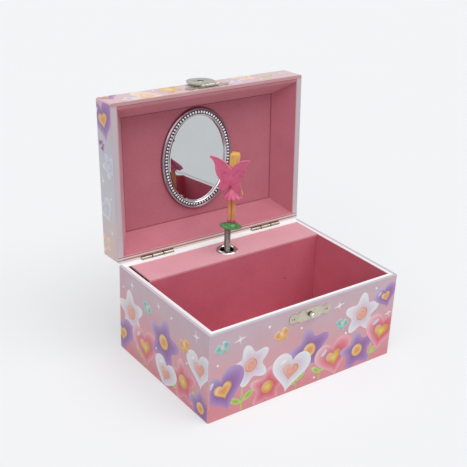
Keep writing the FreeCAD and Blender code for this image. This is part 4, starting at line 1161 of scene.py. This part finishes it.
@dataclass
class LidMirror:
    """The oval mirror and its beaded frame, drawn in the shut lid and opened with it."""

    middle: Point = (-3.2, -2.4)
    half_x: float = 28.8
    half_y: float = 36.5
    panel: float = 78.0
    stations: int = 180
    beads: int = 82
    bead_line: float = 3.35
    bead_half: Place = (0.98, 0.72, 0.62)
    bead_edge: float = 0.42
    bead_rise: float = 1.66
    bezel: tuple[Point, ...] = (
        (0.0, 0.0), (0.0, 0.75), (0.15, 1.3), (0.55, 1.85), (1.1, 2.2), (1.65, 2.1), (2.05, 1.7), (2.1, 1.1),
        (2.1, 0.0))
    moulding: tuple[Point, ...] = (
        (4.55, 0.0), (4.55, 1.1), (4.6, 1.7), (4.75, 2.0), (5.0, 2.08), (5.3, 1.9), (5.5, 1.5), (5.6, 0.9),
        (5.6, 0.0))
    groove: tuple[Point, ...] = ((1.9, 1.0), (1.9, 1.28), (4.7, 1.28), (4.7, 1.0))
    merge: float = 0.002
    frame_sharp: float = 40
    glass_inset: float = 5.7
    glass_face: float = 76.8
    ground_edge: float = 0.7
    ground_depth: float = 0.16
    glass_rings: int = 12
    glass_sharp: float = 6
    skew: Point = (0.72, 0.33)
    curl: float = 1.1
    curl_power: int = 6
    curl_low: float = 0.25
    curl_soft: float = 0.02
    sink: float = 0.35

    def station(self, turn: float, inward: float) -> tuple[Vector, Vector]:
        """Give the point at a turn, set in from the oval's edge, and the way outwards."""
        edge = Vector(self.middle) + Vector((self.half_x * math.cos(turn), self.half_y * math.sin(turn)))
        out = Vector((math.cos(turn) / self.half_x, math.sin(turn) / self.half_y)).normalized()
        return edge - out * inward, out

    def even_turns(self, count: int, inward: float) -> list[float]:
        """Divide the oval into equal steps along its line."""
        fine = 4000
        places = [self.station(2 * math.pi * i / fine, inward)[0] for i in range(fine + 1)]
        lengths = [0.0]
        for a, b in zip(places, places[1:]):
            lengths.append(lengths[-1] + (b - a).length)
        turns, at = [], 0
        for k in range(count):
            while lengths[at + 1] < lengths[-1] * k / count:
                at += 1
            turns.append(2 * math.pi * at / fine)
        return turns

    def swept(self, name: str, section: Sequence[Point]) -> Piece:
        """Sweep a section round the oval.

        Args:
            name: Name of the ring.
            section: Points of the section, each set in from the edge and raised from the panel.

        Returns:
            The closed ring, in the shut lid.
        """
        clear_bench()
        sides = len(section)
        bpy.ops.mesh.primitive_torus_add(
            major_segments=self.stations, minor_segments=sides, major_radius=1, minor_radius=0.2)
        ring = named(name)
        for i, vertex in enumerate(ring.data.vertices):
            inward, rise = section[i % sides]
            place, _ = self.station(2 * math.pi * (i // sides) / self.stations, inward)
            vertex.co = Vector((place.x, place.y, self.panel - rise)) * MM
        with editing(ring):
            pick_all()
            bpy.ops.mesh.remove_doubles(threshold=self.merge * MM)
            face_out()
        smooth(ring, self.frame_sharp)
        return ring

    def build_frame(self) -> None:
        """Sweep the moulding round the oval, line its groove and set the beads in it."""
        ring = self.swept("mirror_moulding", self.moulding)
        clear_bench()
        bpy.ops.mesh.primitive_cube_add(size=2 * MM)
        bead = named("model_bead")
        bead.data.transform(Matrix.Diagonal((*self.bead_half, 1)))
        modified(bead, "BEVEL", width=self.bead_edge * MM, segments=2, limit_method="ANGLE",
                 angle_limit=math.radians(30))
        bead.data.shade_smooth()
        beads = []
        for k, turn in enumerate(self.even_turns(self.beads, self.bead_line)):
            place, out = self.station(turn, self.bead_line)
            heading = Matrix.Rotation(math.atan2(out.y, out.x), 4, "Z")
            spot = Matrix.Translation(Vector((place.x, place.y, self.panel - self.bead_rise)) * MM)
            beads.append(copied(bead, f"bead_{k}", spot @ heading))
        bpy.data.objects.remove(bead)
        frame_piece = joined([ring, *beads], "beaded_mirror_frame")
        frame_piece.data.transform(LID_OPEN)
        fit(frame_piece, "lid", "silver_plastic", Look.SILVERED, "mirror_frame")
        # The bezel ring carries a painted reflection and shade, and the groove ring painted shade between the
        # beads.
        for name, section, finish in (("mirror_frame_bezel", self.bezel, Look.BEZEL),
                                      ("mirror_frame_groove", self.groove, Look.GROOVE)):
            ring = self.swept(name, section)
            ring.data.transform(LID_OPEN)
            fit(ring, "lid", "silver_plastic", finish)

    def skewed(self, p: Vector) -> Vector:
        """Lean the front of the glass in its frame, sink it and curl its upper left side."""
        if p.z > (self.panel + self.glass_face) / 2:
            return p
        across = (p.x - self.middle[0]) / (self.half_x - self.glass_inset)
        along = (p.y - self.middle[1]) / (self.half_y - self.glass_inset)
        over = self.curl_low - along
        reach = (math.sqrt(over * over + self.curl_soft) + over) / 2
        rise = self.curl * ((1 - across) / 2) ** self.curl_power * reach - self.sink
        return Vector((p.x, p.y, p.z + self.skew[0] * across + self.skew[1] * along - rise))

    def build_glass(self) -> None:
        """Cut the oval glass, with a ground edge, and lean it in its frame."""
        clear_bench()
        depth = self.panel - self.glass_face
        bpy.ops.mesh.primitive_cylinder_add(vertices=self.stations, radius=1, depth=depth)
        glass = named("oval_mirror")
        for vertex in glass.data.vertices:
            place, _ = self.station(math.atan2(vertex.co.y, vertex.co.x), self.glass_inset)
            vertex.co = Vector((place.x, place.y, self.panel if vertex.co.z > 0 else self.glass_face)) * MM
        with editing(glass):
            pick_faces(glass, lambda normal: normal.z < -0.9)
            bpy.ops.mesh.inset(thickness=self.ground_edge * MM, depth=0)
            bpy.ops.transform.translate(value=(0, 0, -self.ground_depth * MM))
            centre = (self.middle[0] * MM, self.middle[1] * MM, 0)
            for ring in range(self.glass_rings, 1, -1):
                draw_out(0, 0, 0)
                share = (ring - 1) / ring
                bpy.ops.transform.resize(value=(share, share, 1), center_override=centre)
            bpy.ops.mesh.poke()
        reshape(glass, self.skewed)
        smooth(glass, self.glass_sharp)
        glass.data.transform(LID_OPEN)
        fit(glass, "lid", "mirror", Look.MIRROR, "mirror_glass")

    def build(self) -> None:
        """Build the frame and the glass."""
        self.build_frame()
        self.build_glass()


# Spring under the dancer

@dataclass
class DancerSpring:
    """The close-wound spring under the dancer, which bends as the lid shuts in the real box; here it is built
    straight and carried by no body.
    """

    low: float = 60.45
    high: float = 77.35
    outside: float = 2.2
    wire: float = 0.3
    curls: int = 25
    sides: int = 8
    steps: int = 22
    bend_low: float = 62.5
    bend_high: float = 76.6

    def build(self) -> None:
        """Wind the wire with a screw and close its ends."""
        clear_bench()
        start = ((self.outside - self.wire) * MM, 0, (self.low + self.wire) * MM)
        bpy.ops.mesh.primitive_circle_add(
            vertices=self.sides, radius=self.wire * MM, location=start, rotation=(math.pi / 2, 0, 0))
        spring = settle(named("close_wound_spring"))
        steps = self.steps * self.curls
        modified(spring, "SCREW", axis="Z", angle=2 * math.pi * self.curls, steps=steps, render_steps=steps,
                 screw_offset=(self.high - self.low - 2 * self.wire) * MM, use_smooth_shade=True)
        with editing(spring):
            pick_all()
            bpy.ops.mesh.fill_holes(sides=self.sides)
            bpy.ops.mesh.normals_make_consistent(inside=False)
        spring.data.transform(Matrix.Translation(DANCER_AXIS))
        fit(spring, "", "steel", Look.STEEL, "dancer_spring")
        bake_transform(spring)


# Dancer

@dataclass
class FairyDancer:
    """The small winged dancer on her leaf, drawn facing the rear and turned into place."""

    leaf_low: float = 78.7
    leaf_half: Point = (8.0, 6.5)
    leaf_edge: float = 2.3
    leaf_point: float = 1.5
    leaf_aside: float = 1.9
    feet: float = 82.6
    leg_apart: float = 1.42
    toes_out: float = -32
    skirt_low: float = 101.2
    skirt_reach: float = 7.1
    petals: int = 11
    waist: float = 106.1
    shoulder: float = 112.6
    body_aside: float = 2.3
    neck_top: float = 119.1
    head_half: Place = (2.95, 3.1, 4.4)
    head_aside: float = 3.2
    crown: float = 133.1
    hair_half: Point = (3.05, 3.2)
    hair_square: float = 7.0
    locks: int = 22
    wing_low: float = 106.8
    wing_start: Point = (0, 15.7)
    wing_arcs: tuple[tuple[Point, Point], ...] = (
        ((6.0, 22.0), (13.2, 24.8)), ((14.0, 24.5), (13.9, 23.8)), ((12.0, 21.6), (10.9, 18.8)),
        ((9.9, 12.6), (6.8, 7.8)), ((8.2, 3.2), (4.8, 0)), ((2.0, 2.2), (0, 4.9)))
    wing_back: float = 3.6
    wing_sheet: float = 0.9
    wing_sweep: float = 16
    wing_grain: float = 0.15
    wing_aside: float = 2.0

    def dressed(self, piece: Piece, shift: float, slot: str, finish: Finish, *stands_for: str) -> None:
        """Turn a piece into place, a little to one side of the axis that she turns about, and fit it."""
        way = Vector((math.cos(DANCER_LEAN), math.sin(DANCER_LEAN), 0))
        piece.data.transform(DANCER_TURN @ Matrix.Translation(way * shift * MM))
        fit(piece, "dancer", slot, finish, *stands_for)

    @staticmethod
    def paired(piece: Piece, name: str) -> Piece:
        """Copy a piece for the other side and join the two."""
        twin = copied(piece, f"{name}_twin", Matrix.Scale(-1, 4, (1, 0, 0)))
        pair = joined([piece, twin], name)
        pair.data.shade_smooth()
        return pair

    def build_leaf(self) -> None:
        """Shape the leaf: pointed ends, a thick round edge, a mound and veins."""
        half_x, half_y = self.leaf_half
        thick = self.leaf_edge / 2
        mound_rise = self.feet - 0.1 - self.leaf_low - self.leaf_edge
        mound_reach, mound_steep = 3.9, 6
        power, edge_power = self.leaf_point, 0.62
        middle_depth, middle_half = 0.2, 0.3
        side_depth, side_pitch, side_slant = 0.14, 2.4, 0.9

        def shaped(p: Vector) -> Vector:
            """Draw the ball out into the leaf."""
            reach = min(math.hypot(p.x, p.y), 1)
            turn = math.atan2(p.y, p.x)
            wave = (abs(math.cos(turn)) ** power + abs(math.sin(turn)) ** power) ** (-1 / power)
            x = half_x * math.cos(turn) * reach * wave
            y = half_y * math.sin(turn) * reach * wave
            z = self.leaf_low + thick + math.copysign(abs(p.z) ** edge_power, p.z) * thick
            if p.z < 0:
                return Vector((x, y, z))
            mound = mound_rise * math.exp(-((math.hypot(x, y) / mound_reach) ** mound_steep))
            middle_vein = middle_depth * math.exp(-((y / middle_half) ** 2))
            side_veins = side_depth * max(math.cos(side_pitch * (abs(x) - side_slant * abs(y))), 0) ** 8
            fade = (1 - reach ** 8) * min(reach * 1.2, 1)
            return Vector((x, y, z + mound - (middle_vein + side_veins) * fade))

        leaf = ball("leaf_base", 128, 56, shaped)
        self.dressed(leaf, self.leaf_aside, "leaf_green", Look.LEAF, "leaf_stand")

    def build_legs(self) -> None:
        """Model one leg and one shoe, and copy each for the other side."""
        apart = self.leg_apart
        leg = moulded("leg_model", self.feet, [
            (apart, 0, 1.0, 1.25, 1.3), (apart, 0, 3, 1.25, 1.3), (apart, -0.25, 6.5, 1.48, 1.6),
            (apart, 0, 10, 1.36, 1.45), (apart, 0, 14, 1.5, 1.7),
            (apart, 0, self.skirt_low + 2.5 - self.feet, 1.6, 1.9)], 12)
        self.dressed(self.paired(leg, "dancer_legs"), self.body_aside, "skin", Look.SKIN, "dancer_figure")
        shoe = moulded("shoe_model", self.feet, [
            (0, 1.1, -0.15, 1.15, 2.2), (0, 1.15, 0.45, 1.45, 2.5), (0, 0.75, 1.2, 1.42, 2.0),
            (0, 0.15, 2.0, 1.36, 1.42), (0, 0, 2.5, 1.3, 1.34)], 14)
        heading = Matrix.Rotation(math.radians(self.toes_out), 4, "Z")
        shoe.data.transform(Matrix.Translation(Vector((apart, 0, 0)) * MM) @ heading)
        self.dressed(self.paired(shoe, "dancer_shoes"), self.body_aside, "dress_pink", Look.DRESS)

    def build_skirt(self) -> None:
        """Flare the skirt and cut its hem into petals."""
        hem, waist = self.skirt_reach, 2.6
        rows = ((1.4, 2.4, 2.4), (0.9, 5.0, 5.0), (0.15, 0.96 * hem, 0.96 * hem), (0, hem, hem),
                (0.5, hem, hem), (1.2, 0.95 * hem, 0.95 * hem), (2.4, 5.5, 5.5), (3.8, 4.2, 4.2),
                (5.2, 3.1, 3.0), (6.6, waist, 2.3))
        rings = [(0, 0, self.skirt_low + rise, half_x, half_y) for rise, half_x, half_y in rows]
        skirt = stacked("petal_skirt", rings, 16 * self.petals)
        crease, cut, notch_lift, puff = 0.04, 0.2, 0.5, 0.35

        def petalled(p: Vector) -> Vector:
            """Cut the hem into round petals and crease the cloth between them."""
            reach = math.hypot(p.x, p.y)
            fall = min(max((reach - waist) / (hem - waist), 0), 1)
            lobe = abs(math.cos(self.petals * math.atan2(p.y, p.x) / 2))
            notch = (1 - lobe) ** 1.8
            grow = 1 - (crease * fall ** 0.5 + cut * fall ** 3) * notch
            lift = notch_lift * notch * fall ** 2 + puff * lobe * fall * (1 - fall)
            return Vector((p.x * grow, p.y * grow, p.z + lift))

        reshape(skirt, petalled)
        smooth(skirt, 60)
        self.dressed(skirt, self.body_aside, "dress_pink", Look.DRESS, "dancer_skirt")

    def build_bodice(self) -> None:
        """Stack the bodice from the waist to the shoulders, and the neck above it."""
        bodice = moulded("dancer_bodice", self.waist, [
            (0, 0, -1.0, 2.5, 2.1), (0, 0, 0.5, 2.35, 2.0), (0, 0.1, 3.0, 2.8, 2.35),
            (0, 0.25, 4.8, 3.1, 2.6), (0, 0.1, 5.9, 3.0, 2.2), (0, 0, 6.9, 2.5, 1.8)], 16)
        self.dressed(bodice, self.body_aside, "dress_pink", Look.DRESS)
        neck = moulded("dancer_neck", self.shoulder, [
            (0, 0, -1.2, 2.7, 1.9), (0, 0, 0.7, 2.4, 1.7), (0, 0, 1.9, 1.4, 1.3),
            (0.3, 0, 5.5, 1.2, 1.2), (0.7, 0.1, 8.0, 1.2, 1.2)], 14)
        self.dressed(neck, self.body_aside, "skin", Look.SKIN)

    def build_arms(self) -> None:
        """Stack one arm up from its hand and copy it for the other side."""
        arm = moulded("arm_model", self.shoulder, [
            (7.0, 0.35, -9.4, 0.35, 0.5), (6.95, 0.35, -8.8, 0.72, 0.95), (6.7, 0.25, -7.5, 0.8, 0.95),
            (6.2, 0.15, -6.3, 0.7, 0.74), (5.2, 0, -4.3, 0.92, 0.92), (4.2, 0, -2.2, 1.02, 1.02),
            (3.1, 0, -0.2, 1.16, 1.16), (2.4, 0, 0.7, 0.8, 0.9)], 12)
        self.dressed(self.paired(arm, "dancer_arms"), self.body_aside, "skin", Look.SKIN)

    def build_face(self) -> None:
        """Shape the head with a plain doll's face."""
        half_x, half_y, half_z = self.head_half
        middle = self.neck_top + 4.6
        narrowing, nose_rise, nose_low, nose_half = 0.16, 0.5, 0.12, (0.16, 0.17)

        def faced(p: Vector) -> Vector:
            """Draw the ball into a head with a small chin and nose."""
            chin = 1 - narrowing * max(-p.z, 0) ** 2
            spread = (p.x / nose_half[0]) ** 2 + ((p.z + nose_low) / nose_half[1]) ** 2
            nose = nose_rise * math.exp(-spread) if p.y > 0 else 0
            return Vector((p.x * half_x * chin, p.y * half_y * chin + nose, middle + p.z * half_z))

        head = ball("dancer_face", 48, 32, faced)
        self.dressed(head, self.head_aside, "skin", Look.SKIN, "dancer_head")
        eyes = [(side * 1.1, 2.78, 0.42, 0.3) for side in (-1, 1)]
        self.build_marks("dancer_eyes", Look.EYE, middle + 0.35, eyes)
        self.build_marks("dancer_lips", Look.LIP, middle - 1.75, [(0, 2.72, 0.55, 0.2)])

    def build_marks(self, name: str, finish: Finish, rise: float,
                    marks: Sequence[tuple[float, float, float, float]]) -> None:
        """Set small painted marks on the face, each by its place across and out and its half sizes."""
        thick, bent = 0.3, 0.12
        dots = [ball(f"{name}_{k}", 16, 10, lambda p: Vector((
            x + p.x * half_x, y + p.y * thick, rise + p.z * half_z - bent * p.x ** 2)))
            for k, (x, y, half_x, half_z) in enumerate(marks)]
        self.dressed(joined(dots, name), self.head_aside, "skin", finish)

    def build_hair(self) -> None:
        """Round a block into the hair, comb locks down it and cut it away from the face."""
        clear_bench()
        bpy.ops.mesh.primitive_cube_add(size=2)
        hair = named("dancer_hair")
        rounded(hair, 5)
        low = self.neck_top + 0.4
        half_x, half_y = self.hair_half
        half_z = (self.crown - low) / 2
        power, set_back = self.hair_square, 0.35
        lock_depth, narrowing = 0.02, 0.16

        def combed(p: Vector) -> Vector:
            """Square the ball off into a block of hair with locks down its back."""
            out = p.normalized()
            reach = sum(abs(part) ** power for part in out) ** (-1 / power)
            turn = math.atan2(out.x, out.y)
            fade = min(math.hypot(out.x, out.y) * 1.5, 1)
            lock = 1 - lock_depth * (1 + math.cos(self.locks * turn)) * fade
            narrow = 1 - narrowing * max(-out.z * reach - 0.1, 0)
            return Vector((out.x * reach * half_x * lock * narrow, out.y * reach * half_y * lock - set_back,
                           low + half_z + out.z * reach * half_z))

        reshape(hair, combed)
        with editing(hair):
            pick_all()
            brow = (0, 1.1 * MM, (self.crown - 5) * MM)
            bpy.ops.mesh.bisect(plane_co=brow, plane_no=(0, 0.72, -0.69), use_fill=True, clear_outer=True)
            face_out()
        smooth(hair, 50)
        self.dressed(hair, self.head_aside, "hair_blond", Look.HAIR)

    def wing_line(self, first: int, last: int, steps: int = 10) -> list[Point]:
        """Follow some arcs of one wing's outline.

        Args:
            first: The arc to begin with.
            last: The arc to stop before.
            steps: How many parts each arc has.

        Returns:
            Points across and up, both ends among them.
        """
        ends = [self.wing_start, *(end for _, end in self.wing_arcs)]
        line = []
        for k in range(first, last):
            points = (ends[k], *self.wing_arcs[k])
            for step in range(steps):
                t = step / steps
                weights = ((2 * t - 1) * (t - 1), 4 * t * (1 - t), t * (2 * t - 1))
                line.append(tuple(sum(w * p[axis] for w, p in zip(weights, points)) for axis in (0, 1)))
        return [*line, ends[last]]

    def wing_plate(self, name: str, line: Sequence[Point], back: float) -> Piece:
        """Cut one lobe of a wing from sheet.

        Args:
            name: Name of the lobe.
            line: Its outline, across and up from the wing's low end.
            back: How far its front stands behind the dancer's middle.

        Returns:
            The lobe, one sheet thick.
        """
        clear_bench()
        bpy.ops.mesh.primitive_circle_add(vertices=len(line), radius=MM, fill_type="NGON")
        plate = named(name)
        for vertex, (x, z) in zip(plate.data.vertices, line):
            vertex.co = Vector((x, -back, self.wing_low + z)) * MM
        with editing(plate):
            pick_all()
            draw_out(0, -self.wing_sheet * MM, 0)
            face_out()
        return plate

    def wing_rod(self, name: str, line: Sequence[Point], depth: float, radius: float) -> Piece:
        """Lay a thin rod along a line on the back of a wing."""
        return tube(name, [(x, -depth, self.wing_low + z) for x, z in line], radius)

    def swept_back(self, p: Vector) -> Vector:
        """Sweep both wings back from their root."""
        sweep, root = math.radians(self.wing_sweep), 0.5
        return Vector((p.x * math.cos(sweep), p.y - (math.hypot(p.x, root) - root) * math.sin(sweep), p.z))

    def build_wings(self) -> None:
        """Mould one wing from two lobes with raised rims and veins, then mirror it."""
        back, out = self.wing_back, self.wing_back + self.wing_sheet
        upper = [*self.wing_line(0, 4), (3.4, 8.0), (-0.4, 8.6), (-0.4, 15.4)]
        lower = [(-0.4, 12.0), (4.2, 11.0), *self.wing_line(4, 6), (-0.4, 5.2)]
        high_rib = ((1.6, 11.8), (5.2, 15.6), (9.0, 19.4), (11.6, 22.4))
        low_rib = ((1.6, 8.6), (3.6, 6.6), (5.2, 4.6), (5.6, 2.8))
        root, root_half = Vector((0, -back - 0.2, self.wing_low + 8.6)), Vector((0.9, 1.0, 4.2))
        parts = [
            self.wing_plate("upper_lobe", upper, back),
            self.wing_plate("lower_lobe", lower, back - 0.06),
            self.wing_rod("wing_rib_0", high_rib, out - 0.05, 0.3),
            self.wing_rod("wing_rib_1", low_rib, out - 0.1, 0.28),
            ball("wing_root", 24, 16, lambda p: p * root_half + root),
        ]
        wings = self.paired(joined(parts, "wing_model"), "butterfly_wings")
        modified(wings, "REMESH", mode="VOXEL", voxel_size=self.wing_grain * MM, use_smooth_shade=True)
        modified(wings, "SMOOTH", factor=0.5, iterations=5)
        reshape(wings, self.swept_back)
        self.dressed(wings, self.wing_aside, "wing_pink", Look.WING, "dancer_wings")
        # The rims along the upper edges carry a painted highlight.
        rim = self.wing_rod("rim_model", self.wing_line(0, 3, 6), out - 0.1, 0.5)
        rims = self.paired(rim, "wing_rims")
        reshape(rims, self.swept_back)
        self.dressed(rims, self.wing_aside, "wing_pink", Look.WING_RIM_HIGHLIGHT)

    def build(self) -> None:
        """Build the dancer from the leaf up."""
        self.build_leaf()
        self.build_legs()
        self.build_skirt()
        self.build_bodice()
        self.build_arms()
        self.build_face()
        self.build_hair()
        self.build_wings()


# Small trim on the case

@dataclass
class CaseTrim:
    """Small dark trim: the divider's pin, and dark pieces that paint the shade in the nails' dimples, round
    the knob's stem and in the gaps between the hinge barrels.
    """

    pin: Place = (43.65, 25.0, 32.9)
    nail: Place = (13.4, -55.2, 54.9)
    knob: Place = (0.0, -54.6, 54.9)
    hinge: Place = (46.0, 54.5, 62.2)
    joint: float = 4.5
    joint_half: float = 0.5
    joint_reach: float = 1.47
    joint_edge: float = 0.15

    @staticmethod
    def head(name: str, reach: float, rise: float) -> Piece:
        """Stack a small domed head that looks to the front."""
        return turned(name, [(-0.3, reach), (rise / 2, reach), (rise, reach * 0.6)], 16, "X")

    @staticmethod
    def repeated(model: Piece, name: str, places: Sequence[Place]) -> Piece:
        """Copy a model to several places, join the copies and put the model away."""
        copies = [copied(model, f"{name}_{k}", Matrix.Translation(Vector(place) * MM))
                  for k, place in enumerate(places)]
        bpy.data.objects.remove(model)
        return joined(copies, name)

    def build(self) -> None:
        """Set the pin, and the dark dimples, stem ring and rings between the hinge barrels that paint the
        shade there.
        """
        pin = self.repeated(self.head("pin_model", 0.55, 0.26), "divider_pin", [self.pin])
        fit(pin, "base", "steel", Look.BLACK)
        # The dimples, the ring round the knob's stem and the rings between the hinge barrels are dark pieces
        # that paint the shade there.
        x, y, z = self.nail
        dimples = self.repeated(self.head("dimple_model", 0.5, 0.06), "nail_dimple_shade", [(-x, y, z), (x, y, z)])
        fit(dimples, "base", "nickel", Look.GAP_SHADE)
        knob_shadow = self.repeated(self.head("knob_shadow_model", 1.75, 0.8), "knob_shadow_ring", [self.knob])
        fit(knob_shadow, "base", "nickel", Look.GAP_SHADE)
        half, wide, edge = self.joint_half, self.joint_reach, self.joint_edge
        ring = turned("joint_model", [(-half, wide - edge), (edge - half, wide), (half - edge, wide),
                                      (half, wide - edge)], 32, "Y")
        x, y, z = self.hinge
        places = [(side * x + end * self.joint, y, z) for side in (-1, 1) for end in (-1, 1)]
        fit(self.repeated(ring, "hinge_gap_shade", places), "base", "nickel", Look.GAP_SHADE)


def dress_solids() -> None:
    """Give every solid that stays its finish, by its material slot."""
    for row in frame["record"]["subparts"]:
        node = frame["nodes"][row["node"]]
        finish = Look.NODES.get(row["node"], Look.SLOTS[row["material_slot"]])
        if not node.material_slots:
            node.data.materials.append(None)
        for place in node.material_slots:
            place.material = finish.material()
        log.info("%s dressed in %s", row["node"], finish.name)


# Stage, light and camera

@dataclass(frozen=True)
class FloorPaper(Finish):
    """The pale floor: white to the eye and in metal, and dimmer in the light that it throws back."""

    deep: Colour
    pale: Colour
    thrown: Colour
    glow: Colour

    def dress(self, wiring: Wiring, shader: Node) -> None:
        """Vary the white very slightly, and keep its shadow pale."""
        white = wiring.blend(wiring.noise(wiring.place(), 6, 3), self.deep, self.pale)
        seen = wiring.seen()
        wiring.fill(shader, {
            "Base Color": wiring.blend(seen, self.thrown, white),
            "Emission Color": wiring.blend(seen, (0, 0, 0), self.glow),
            "Emission Strength": 1,
            "Roughness": 0.9,
            "Specular IOR Level": 0,
        })


@dataclass
class Studio:
    """The floor, the soft light and the camera."""

    floor_half: float = 6.0
    paper: FloorPaper = FloorPaper(
        "floor_white", (0.45, 0.452, 0.458), (0.46, 0.462, 0.468), (0.52, 0.515, 0.515), (0.44, 0.445, 0.455))
    ambient: Colour = (0.38, 0.385, 0.39)
    horizon: Colour = (0.92, 0.925, 0.94)
    ceiling: Colour = (0.36, 0.36, 0.37)
    darkening: Point = (0.12, 0.75)
    camera_place: Place = (-0.33893, -0.43186, 0.34023)
    camera_turn: Place = (63.627, -2.846, -36.894)
    sensor: float = 36
    lens: float = 71.027
    shift: Point = (-0.0616, 0.06)

    def build_floor(self) -> None:
        """Lay the floor."""
        clear_bench()
        bpy.ops.mesh.primitive_plane_add(size=2 * self.floor_half, location=(0, 0, 0))
        floor = named("floor")
        floor.data.materials.append(self.paper.material())

    def build_world(self) -> None:
        """Surround the box with soft light and a pale backdrop that darkens overhead."""
        world = bpy.data.worlds.new("studio")
        world.use_nodes = True
        bpy.context.scene.world = world
        wiring = Wiring(world.node_tree)
        parts = wiring.add("ShaderNodeSeparateXYZ")
        wiring.feed(parts, 0, wiring.add("ShaderNodeTexCoord").outputs["Generated"])
        height = wiring.span(parts.outputs["Z"], *self.darkening)
        backdrop = wiring.blend(height, self.horizon, self.ceiling)
        sky = wiring.add("ShaderNodeBackground")
        wiring.feed(sky, "Color", wiring.blend(wiring.seen(), self.ambient, backdrop))
        wiring.feed(wiring.add("ShaderNodeOutputWorld"), "Surface", sky.outputs[0])

    @staticmethod
    def lamp(name: str, way: Place, spread: float, power: float) -> None:
        """Set a wide, even lamp far away.

        Args:
            name: Name of the lamp.
            way: The direction that its light comes from.
            spread: How wide it looks, in degrees.
            power: Its strength.
        """
        clear_bench()
        bpy.ops.object.light_add(type="SUN", location=Vector(way))
        lamp = bpy.context.object
        lamp.name = name
        lamp.data.angle = math.radians(spread)
        lamp.data.energy = power
        lamp.rotation_euler = (-Vector(way)).to_track_quat("-Z", "Y").to_euler()

    def build_camera(self) -> None:
        """Set the camera at the viewing angle."""
        camera = bpy.data.cameras.new("camera")
        camera.sensor_width = self.sensor
        camera.lens = self.lens
        camera.shift_x, camera.shift_y = self.shift
        eye = bpy.data.objects.new("camera", camera)
        eye.location = self.camera_place
        eye.rotation_euler = [math.radians(angle) for angle in self.camera_turn]
        bpy.context.scene.collection.objects.link(eye)
        bpy.context.scene.camera = eye

    def build(self) -> None:
        """Set up the floor, light and camera."""
        self.build_floor()
        self.build_world()
        self.lamp("lamp_key", (0.35, -0.4, 1.0), 50, 1.4)
        self.lamp("lamp_fill", (-0.6, -0.52, 0.72), 60, 1.1)
        self.build_camera()
        bpy.context.scene.view_settings.view_transform = "Standard"


def main() -> None:
    """Build and dress every sub-assembly, then set the stage."""
    logging.basicConfig(level=logging.INFO, format="%(message)s")
    dress_solids()
    printing = PrintedPaper()
    printing.build("base_motifs", "base", base_faces(), Matrix.Identity(4))
    printing.build("lid_motifs", "lid", lid_faces(), LID_OPEN)
    printing.clear()
    LidMirror().build()
    DancerSpring().build()
    FairyDancer().build()
    CaseTrim().build()
    Studio().build()
    clear_bench()


if __name__ == "__main__":
    main()
